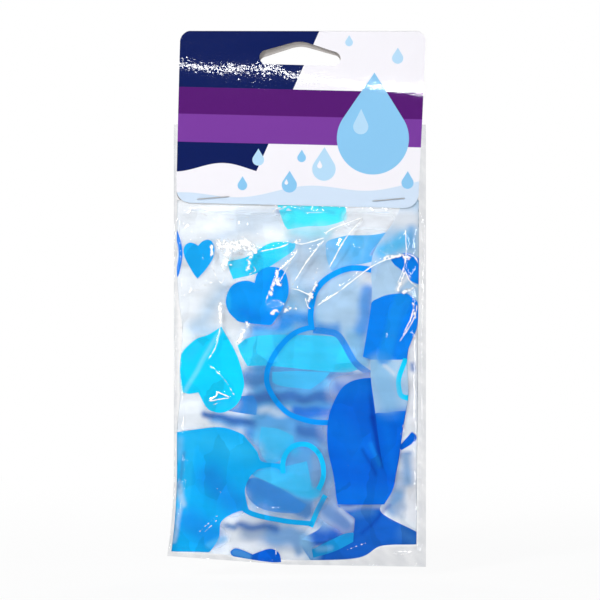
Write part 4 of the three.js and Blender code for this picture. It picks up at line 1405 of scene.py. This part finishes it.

# %% [markdown]
# ## The clear bag
# A flattened tube of crisp film, open inside the card and sealed at the foot. What the eye sees of it is
# only creases: each one flashes where its flank turns towards a lamp, and the sharpest are painted white,
# partly as film stretched white and partly as painted highlights. A few more painted highlights, white
# spots, lie where the film would mirror a lamp. So the front is cut with its main creases as edges, and
# each is pushed out as a sharp ridge with soft flanks. Smaller crumples between them come from a network
# of random cells, and a few broad folds catch wide highlights.

# %% Crease lines of the bag's front
creases = [
    # height in millimetres, whiteness, then the points
    (0.45, 0.8, [(-17.0, -83.1), (-7.5, -81.0), (-3.3, -78.9)]),
    (0.55, 0.9, [(-3.3, -78.9), (1.0, -79.8), (10.1, -77.2)]),
    (0.55, 0.9, [(10.1, -77.2), (11.6, -74.3), (25.3, -69.0)]),
    (0.55, 0.9, [(25.3, -69.0), (17.9, -77.5), (10.8, -90.2)]),
    (0.50, 0.8, [(10.1, -77.4), (3.1, -86.0), (-3.6, -96.5)]),
    (0.50, 0.9, [(-1.0, -80.9), (-2.6, -84.6), (-9.6, -91.3)]),
    (0.40, 0.6, [(-1.9, -82.8), (-6.8, -92.3), (-8.9, -95.8)]),
    (0.40, 0.6, [(-9.6, -91.3), (-12.8, -100.1), (-13.8, -103.6)]),
    (0.35, 0.4, [(7.7, -89.1), (5.2, -93.0), (4.1, -98.7)]),
    (0.55, 0.9, [(-4.3, -97.3), (-0.4, -98.1), (5.3, -100.8)]),
    (0.50, 0.9, [(1.8, -100.8), (2.9, -104.3), (4.1, -105.6)]),
    (0.55, 1.0, [(4.1, -105.6), (14.4, -99.0), (29.2, -88.1), (41.9, -83.6)]),
    (0.45, 0.8, [(41.9, -83.6), (45.1, -85.1), (46.7, -88.1)]),
    (0.50, 0.8, [(41.2, -72.6), (41.6, -83.1), (40.6, -89.5), (37.5, -96.9)]),
    (0.45, 0.8, [(40.8, -89.5), (42.9, -94.1), (46.1, -96.9)]),
    (0.40, 0.7, [(37.5, -97.1), (40.5, -98.0), (44.0, -100.1)]),
    (0.50, 0.9, [(46.1, -102.9), (44.7, -109.2), (38.7, -118.8)]),
    (0.45, 0.8, [(44.8, -104.3), (43.3, -109.6), (40.6, -114.9)]),
    (0.50, 0.8, [(-33.0, -103.6), (-31.1, -107.1), (-32.9, -119.1), (-37.0, -126.5)]),
    (0.35, 0.5, [(-37.0, -126.5), (-30.1, -132.9), (-25.5, -140.3)]),
    (0.40, 0.6, [(-34.3, -80.3), (-34.9, -83.9), (-35.7, -87.0)]),
    (0.35, 0.5, [(-38.5, -83.1), (-38.2, -85.6), (-39.1, -87.4)]),
    (0.40, 0.6, [(-35.4, -86.7), (-31.8, -95.3), (-29.2, -91.6)]),
    (0.30, 0.4, [(-40.3, -95.5), (-36.4, -96.5), (-31.8, -95.3)]),
    (0.45, 0.9, [(-32.9, -137.7), (-30.4, -139.0), (-27.4, -140.3)]),
    (0.45, 0.9, [(-27.4, -140.3), (-31.1, -140.8), (-36.3, -141.8)]),
    (0.45, 0.9, [(-36.3, -141.8), (-33.2, -139.6), (-32.9, -137.7)]),
    (0.30, 0.5, [(-37.8, -144.1), (-33.6, -142.8), (-28.7, -141.1)]),
    (0.35, 0.6, [(-20.2, -87.0), (-17.7, -90.2), (-21.2, -92.3)]),
    (0.40, 0.7, [(-11.4, -68.3), (-9.6, -65.9), (-4.7, -64.9)]),
    (0.35, 0.5, [(-24.1, -72.2), (-20.9, -69.2), (-20.0, -73.3)]),
    (0.30, 0.4, [(-48.1, -66.1), (-46.9, -95.1), (-47.0, -136.0)]),
    (0.35, 0.5, [(48.2, -66.9), (48.1, -114.9), (48.2, -136.0)]),
    (0.30, 0.4, [(-40.6, -66.9), (-32.2, -70.5), (-24.4, -69.7)]),
    (0.30, 0.4, [(-46.3, -100.8), (-41.4, -98.0), (-36.4, -99.4)]),
    (0.35, 0.5, [(-23.7, -110.7), (-21.6, -114.2), (-24.4, -118.4)]),
    (0.35, 0.5, [(-41.0, -194.3), (-37.1, -190.6), (-31.1, -185.4)]),
    (0.30, 0.4, [(-39.6, -194.9), (-34.3, -189.9), (-32.2, -187.8)]),
    (0.35, 0.3, [(-49.0, -176.5), (-46.3, -170.2), (-43.7, -163.8)]),
    (0.35, 0.3, [(-44.9, -172.7), (-46.4, -178.7), (-49.5, -192.1)]),
    (0.30, 0.4, [(-33.6, -175.8), (-31.8, -176.9), (-28.7, -182.2)]),
    (0.35, 0.5, [(17.9, -200.5), (22.1, -198.8), (26.4, -197.3)]),
    (0.30, 0.5, [(34.1, -200.9), (38.4, -202.1), (42.9, -202.3)]),
    (0.30, 0.4, [(-11.7, -205.5), (-9.6, -201.9), (-10.3, -199.1)]),
    (0.35, 0.4, [(-21.6, -183.6), (-11.7, -183.9), (-6.1, -182.9)]),
    (0.30, 0.4, [(39.1, -156.1), (40.1, -152.6), (41.3, -146.2)]),
    (0.30, 0.2, [(-45.5, -73.2), (-41.6, -75.6), (-37.4, -79.0)]),
    (0.25, 0.2, [(-43.9, -78.2), (-41.2, -76.0), (-39.4, -72.6)]),
]
broad_folds = [
    # start, end, half width and height in millimetres
    ((-36.0, -81.0), (-20.0, -84.5), 5.0, 0.7),
    ((-40.0, -97.0), (-34.0, -99.0), 2.5, 0.5),
    ((-13.5, -106.5), (-5.0, -104.0), 3.0, 0.6),
    ((-47.0, -186.0), (-40.0, -170.0), 4.0, 0.5),
]
painted_glints = [
    # painted highlights, white spots where the film would mirror a lamp: start, end and half width in
    # millimetres
    ((-31.5, -80), (-24.5, -81), 3.2), ((-22.7, -79), (-18.4, -82.5), 2.4),
    ((-19.5, -82.5), (-20.8, -90.4), 1.1), ((-28.4, -82.5), (-29.5, -88), 2.2),
    ((-35.2, -80.1), (-34.8, -84.0), 0.8), ((-9.2, -90.8), (-8.7, -96.2), 1.1),
    ((-9.7, -93.6), (-11.9, -99.7), 0.8), ((-11.1, -106.8), (-9.1, -106.0), 1.0),
    ((-6.4, -106.2), (-1.6, -104.9), 1.1), ((-2.7, -79.3), (-0.3, -78.8), 1.0),
    ((6.2, -95.2), (3.4, -102.5), 1.0), ((33.2, -85.3), (39.7, -84.4), 0.8),
    ((40.3, -85.0), (43.5, -85.3), 1.0), ((40.7, -91.5), (38.4, -97.8), 0.8),
    ((39.7, -99.0), (43.7, -97.5), 1.0), ((-20.8, -111.1), (-24.0, -118.2), 1.3),
    ((-31.6, -103.4), (-31.5, -110.9), 1.0), ((44.2, -102.0), (45.3, -109.0), 0.6),
]
crease_lines = [along_line(points, 0.5) for _, _, points in creases]
print("creases:", len(creases), "with", sum(len(line) for line in crease_lines), "points")

# %% Cut the two faces of the bag
FRONT_SPACING, REAR_SPACING = 1.0, 1.7
flank_steps = (-1.0, -0.55, -0.25, 0.25, 0.55, 1.0)
CELLS, CELL_SQUASH, CELL_RIDGE = 190, 0.8, 0.9
CELLS_HALF, CELLS_LOW, CELLS_HIGH = 54, -212, -62


def crumple(x, z, seed, strength):
    """A net of fine ridges along the borders of random cells, strong in places and faint in others."""
    draw = np.random.default_rng(seed)
    seed_x = draw.uniform(-CELLS_HALF, CELLS_HALF, CELLS)
    seed_z = draw.uniform(CELLS_LOW, CELLS_HIGH, CELLS)
    apart = np.hypot(x[:, None] - seed_x, (z[:, None] - seed_z) * CELL_SQUASH)
    apart.sort(axis=1)
    border = apart[:, 1] - apart[:, 0]
    patchy = ease(0.5 + 0.6 * waves(x, z, seed + 1, 5, 25, 70))
    return strength * patchy * np.exp(-border / CELL_RIDGE)


def bag_outline():
    """The bag's closed outline, from the mouth's left corner down and round."""
    left_z = np.arange(MOUTH_TOP, LEFT_FOOT_Z, -SIDE_STEP)
    left = np.stack([bag_left(left_z), left_z], axis=1)
    foot_x = np.arange(bag_left(LEFT_FOOT_Z), BAG_RIGHT, SIDE_STEP)
    foot = np.stack([foot_x, bag_foot(foot_x)], axis=1)
    right_z = np.arange(RIGHT_FOOT_Z, MOUTH_TOP, SIDE_STEP)
    right = np.stack([np.full(len(right_z), BAG_RIGHT), right_z], axis=1)
    top_x = np.arange(BAG_RIGHT, BAG_LEFT, -SIDE_STEP)
    top = np.stack([top_x, np.full(len(top_x), MOUTH_TOP)], axis=1)
    return np.vstack([left, foot, right, top])


outline = bag_outline()
flanks = [beside(line, away) for line in crease_lines for away in flank_steps]
front_flat, front_faces = cut_sheet(outline, FRONT_SPACING, crease_lines, flanks)
rear_flat, rear_faces = cut_sheet(outline, REAR_SPACING)
print("bag front:", len(front_faces), "triangles, rear:", len(rear_faces))

# %% Raise the creases
CREASE_WIDTH, STRETCH_WIDTH = 0.7, 0.28
CREASE_REACH, CREASE_FADE = 5.0, 0.15
# how white the painted highlight spots are
PAINTED_GLINT_WHITE = 0.62
EDGE_ROOM = 2.5
SLACK, SMALL_SLACK, DEEPEST_DENT, CRUMPLE = 0.35, 0.12, -0.25, 0.12
MOUTH_GAP = 0.05


def edge_fade(flat):
    """0 on the bag's edges, 1 inside them."""
    x, z = flat[:, 0], flat[:, 1]
    near = np.minimum(x - bag_left(z), BAG_RIGHT - x)
    return ease(np.minimum(near, z - bag_foot(x)) / EDGE_ROOM)


def below_card(z):
    """0 where the card clamps the film, 1 from a little below it."""
    return ease((BEND_Z + 0.5 - z) / 5)


def ridges(flat):
    """How far the creases and folds raise the film, and how white it is: creases partly stretched film and
    partly painted highlight, plus painted highlight spots.
    """
    rise, white = np.zeros(len(flat)), np.zeros(len(flat))
    broken = 0.75 + 0.25 * waves(flat[:, 0], flat[:, 1], 7, 5, 2.5, 7)
    for (height, pale, _), line in zip(creases, crease_lines):
        middle = (line.max(0) + line.min(0)) / 2
        near = np.all(np.abs(flat - middle) < np.ptp(line, axis=0) / 2 + CREASE_REACH, axis=1)
        away, share = distance_to(flat[near], line)
        fade = ease(share / CREASE_FADE) * ease((1 - share) / CREASE_FADE)
        rise[near] += height * fade * np.exp(-np.sqrt(away ** 2 + 0.02) / CREASE_WIDTH)
        patchy = np.clip(1.6 * broken[near], 0.2, 1)
        drawn = pale * np.sqrt(fade) * patchy * np.exp(-(away / STRETCH_WIDTH) ** 2)
        white[near] = np.maximum(white[near], drawn)
    for start, end, width, height in broad_folds:
        away, _ = distance_to(flat, np.array([start, end]))
        rise += height * np.exp(-(away / width) ** 2)
    # painted highlights: white spots where the film would mirror a lamp
    for start, end, width in painted_glints:
        away, _ = distance_to(flat, np.array([start, end]))
        white = np.maximum(white, PAINTED_GLINT_WHITE * np.exp(-(away / width) ** 2))
    return rise, white


def bag_depth(flat, seed, rise):
    """How far a face of the bag stands from the middle plane."""
    x, z = flat[:, 0], flat[:, 1]
    swell = SLACK * waves(x, z, seed, 6, 22, 60) + SMALL_SLACK * waves(x, z, seed + 5, 6, 7, 16)
    rise = rise + np.maximum(swell, DEEPEST_DENT) + crumple(x, z, seed + 9, CRUMPLE)
    return (pillow(x, z) + rise * below_card(z)) * np.maximum(edge_fade(flat), 1e-6)


# the front's white: creases partly stretched film and partly painted highlight, and painted highlight spots
front_rise, front_white_and_glints = ridges(front_flat)
front_y = -bag_depth(front_flat, 41, front_rise)
rear_y = bag_depth(rear_flat, 61, np.zeros(len(rear_flat)))
open_top = front_flat[:, 1] > MOUTH_TOP - 1e-6
front_y[open_top] = np.minimum(front_y[open_top], -MOUTH_GAP)
points = np.vstack([
    np.stack([front_flat[:, 0], front_y, front_flat[:, 1]], axis=1),
    np.stack([rear_flat[:, 0], rear_y, rear_flat[:, 1]], axis=1),
])
faces = front_faces + [tuple(len(front_flat) + v for v in (a, c, b)) for a, b, c in rear_faces]
print(f"bag: front {-front_y.min():.2f} mm and rear {rear_y.max():.2f} mm from the middle at most")

# %% [markdown]
# ### Clear film
# Cast polypropylene film is clear and crisp, with a sharp mirror on its surface. A glass shader would
# bend the view through it, and thin film doesn't, so a see-through shader and a mirror are mixed by the
# film's own reflectance. Where film is creased hard it is painted white, partly as stretched film and
# partly as painted highlight, and painted highlight spots are white too. Where the bag is empty beside
# and below the cap a grey tint dims it: partly the haze of two layers of film, partly painted shade.

# %% Clear polypropylene film
FILM_IOR = 1.47
# a grey tint for the empty margins, partly the haze of two layers of film and partly painted shade, and how
# soft its edge is in millimetres
HEM_GREY, HEM_SOFT = "#F0F1F3", 0.8
CAP_LEFT, CAP_RIGHT = -48.6, 46.2
cap_foot = [
    (-51.0, -201.2), (-30.0, -202.6), (-8.0, -204.9), (21.4, -203.0), (32.0, -199.2), (46.4, -198.7),
]
RIPPLE = 2.5
# the white of creased film and of painted highlights breaks into flakes, drawn coarser than real ones so that
# they show: size in millimetres and weight
FLAKE, FLAKE_WEIGHT = 1.3, 1.4
WHITE_FROM, WHITE_FULL = 1.1, 1.25


def empty_margin(flat):
    """1 where the bag is empty beside and below the cap."""
    x, z = flat[:, 0], flat[:, 1]
    foot_x, foot_z = np.transpose(cap_foot)
    outside = np.maximum(np.maximum(x - CAP_RIGHT, CAP_LEFT - x), np.interp(x, foot_x, foot_z) - z)
    return ease(0.5 + outside / HEM_SOFT) * (0.8 + 0.2 * waves(x, z, 71, 5, 3, 14))


def clear_film():
    """Crisp polypropylene film: colourless but for a grey tint in the empty margins, part haze and part
    painted shade, the same sharp reflection on both sides, and white where creased and at painted highlights.
    """
    material, tree = finish("clear_polypropylene_film")
    rear = add(tree, "NewGeometry").outputs["Backfacing"]
    bend = add(tree, "MapRange", {"Value": rear, "To Min": FILM_IOR, "To Max": 1 / FILM_IOR})
    place = add(tree, "TexCoord").outputs["Object"]
    ripple = add(tree, "TexNoise", {"Vector": place, "Scale": 1 / (RIPPLE * MM), "Detail": 3.0})
    wrinkle = add(tree, "Bump", {"Strength": 0.8, "Distance": 0.12 * MM, "Height": ripple})
    gloss = add(tree, "Fresnel", {"IOR": bend})
    margin = add(tree, "Attribute", attribute_name="hem")
    # the grey tint of the empty margins: part haze, part painted shade
    clear = add(tree, "Mix", [margin.outputs["Fac"], (1, 1, 1, 1), ink(HEM_GREY)], data_type="RGBA")
    through = add(tree, "BsdfTransparent", {"Color": clear})
    mirror = add(tree, "BsdfAnisotropic", {"Color": (1, 1, 1, 1), "Roughness": 0.06, "Normal": wrinkle})
    film = add(tree, "MixShader", [gloss, through, mirror])
    # white of creases and painted highlights, stored as the crease attribute
    stretched = add(tree, "Attribute", attribute_name="crease")
    flake = add(tree, "TexNoise", {"Vector": place, "Scale": 1 / (FLAKE * MM), "Detail": 3.0})
    ragged_white = add(tree, "Math", [flake, FLAKE_WEIGHT, stretched.outputs["Fac"]], operation="MULTIPLY_ADD")
    whitened = add(tree, "MapRange", {"Value": ragged_white, "From Min": WHITE_FROM, "From Max": WHITE_FULL})
    pale = add(tree, "BsdfPrincipled", {"Base Color": (1, 1, 1, 1), "Roughness": 0.35})
    surface = add(tree, "MixShader", [whitened, film, pale])
    add(tree, "OutputMaterial", {"Surface": surface})
    return material


bag_finish = clear_film()
print("clear film:", len(bag_finish.node_tree.nodes), "nodes")

# %% Join the faces to one bag
bag = store("clear_bag_film", points, faces, [bag_finish])
# the white of creases and painted highlights, read by the film's finish
crease_and_glint_white = bag.data.attributes.new("crease", "FLOAT", "POINT")
crease_and_glint_white.data.foreach_set("value", np.concatenate([front_white_and_glints, np.zeros(len(rear_flat))]))
hem = bag.data.attributes.new("hem", "FLOAT", "POINT")
hem.data.foreach_set("value", np.concatenate([empty_margin(front_flat), empty_margin(rear_flat)]))
SHARP_TURN = 1.2
tube = bmesh.new()
tube.from_mesh(bag.data)
bmesh.ops.remove_doubles(tube, verts=tube.verts, dist=WELD * MM)
for edge in tube.edges:
    edge.smooth = edge.is_boundary or edge.calc_face_angle(0) < SHARP_TURN
tube.to_mesh(bag.data)
tube.free()
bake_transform(bag)
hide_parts("bag_mouth", "bag_pouch")
print("bag:", len(bag.data.polygons), "triangles")

# %% [markdown]
# ## Studio
# A white sweep and soft boxes, as for a catalogue picture. The backdrop is white to the camera and to
# see-through film, and the room in front is dim, so that glossy film mirrors mainly the lamps.

# %% Floor
FLOOR_DROP = 0.004
ROOM_LIGHT, FRONT_ROOM = 0.35, 0.05
# the sweep's own white for the camera: least at the pack, full further out, in metres
GLOW_NEAR, GLOW_FAR, GLOW_LEAST = 0.25, 0.6, 0.9
PAPER = 0.9
bpy.ops.object.select_all(action="DESELECT")
bpy.ops.mesh.primitive_plane_add(size=6, location=(0, 0, 0))
floor = bpy.context.object
floor.name = "studio_floor"
floor.data.transform(Matrix.Translation((0, 0, RIGHT_FOOT_Z * MM - FLOOR_DROP)))


def studio_sweep():
    """Matt white paper that fades to plain white for the camera and takes a soft shadow near the pack."""
    material, tree = finish("white_studio_paper")
    path = add(tree, "LightPath")
    away = add(tree, "VectorMath", [add(tree, "TexCoord").outputs["Object"]], operation="LENGTH")
    share = add(tree, "MapRange", {
        "Value": away, "From Min": GLOW_NEAR, "From Max": GLOW_FAR, "To Min": GLOW_LEAST, "To Max": 1.0,
    })
    seen = add(tree, "Math", [path.outputs["Is Camera Ray"], share], operation="MULTIPLY")
    paper = add(tree, "BsdfDiffuse", {"Color": (PAPER, PAPER, PAPER, 1)})
    glow = add(tree, "Emission", {"Color": (1, 1, 1, 1), "Strength": 1.0})
    lit = add(tree, "MixShader", [seen, paper, glow])
    dim = add(tree, "Emission", {"Color": (1, 1, 1, 1), "Strength": FRONT_ROOM})
    surface = add(tree, "MixShader", [path.outputs["Is Glossy Ray"], lit, dim])
    add(tree, "OutputMaterial", {"Surface": surface})
    return material


floor.data.materials.append(studio_sweep())
print("floor at", round(RIGHT_FOOT_Z - FLOOR_DROP / MM, 1), "mm")

# %% The room's light
world = bpy.data.worlds.new("studio")
bpy.context.scene.world = world
world.use_nodes = True
sky = world.node_tree
sky.nodes.clear()
path = add(sky, "LightPath")
way = add(sky, "SeparateXYZ", [add(sky, "TexCoord").outputs["Generated"]])
behind = add(sky, "MapRange", {
    "Value": way.outputs["Y"], "From Min": -0.2, "From Max": 0.3, "To Min": FRONT_ROOM,
})
shown = work_out(sky, {
    "camera": path.outputs["Is Camera Ray"],
    "glossy": path.outputs["Is Glossy Ray"],
    "through": path.outputs["Is Transmission Ray"],
    "behind": behind.outputs["Result"],
}, [
    ("mirrored", "Math", "MULTIPLY", "glossy", "behind"),
    ("direct", "Math", "MAXIMUM", "camera", "through"),
    ("white", "Math", "MAXIMUM", "direct", "mirrored"),
    ("any", "Math", "MAXIMUM", "direct", "glossy"),
    ("else", "Math", "SUBTRACT", 1.0, "any"),
    ("strength", "Math", "MULTIPLY_ADD", "else", ROOM_LIGHT, "white"),
])
light = add(sky, "Background", {"Color": (1, 1, 1, 1), "Strength": shown["strength"]})
add(sky, "OutputWorld", {"Surface": light})
print("world:", len(sky.nodes), "nodes")

# %% Lamps
def soft_box(name, place, width, height, radiance, roll=0.0):
    """An area lamp that faces the middle of the pack, as bright as its radiance says."""
    lamp = bpy.data.lights.new(name, "AREA")
    lamp.shape = "ELLIPSE" if width == height else "RECTANGLE"
    lamp.size, lamp.size_y = width, height
    lamp.energy = radiance * math.pi * width * height
    made = bpy.data.objects.new(name, lamp)
    made.location = place
    aim = Vector((0, 0, FRAME_CENTRE[1])) - Vector(place)
    turned = aim.to_track_quat("-Z", "Y") @ Quaternion((0, 0, 1), math.radians(roll))
    made.rotation_euler = turned.to_euler()
    made.visible_camera = False
    bpy.context.scene.collection.objects.link(made)
    return made


soft_box("key_box", (-0.45, -0.70, 0.45), 0.16, 0.16, 45)
soft_box("top_strip", (0.0, -0.75, 0.124), 0.35, 0.006, 80, roll=-8)
soft_box("right_box", (0.60, -0.55, -0.10), 0.05, 0.50, 17)
soft_box("left_box", (-0.62, -0.55, -0.12), 0.04, 0.50, 22)
soft_box("rear_left_box", (-0.5, 0.8, 0.2), 0.4, 0.4, 6)
soft_box("rear_right_box", (0.5, 0.8, 0.2), 0.4, 0.4, 6)
bpy.context.scene.view_settings.view_transform = "Standard"
bpy.context.scene.cycles.transparent_max_bounces = 48
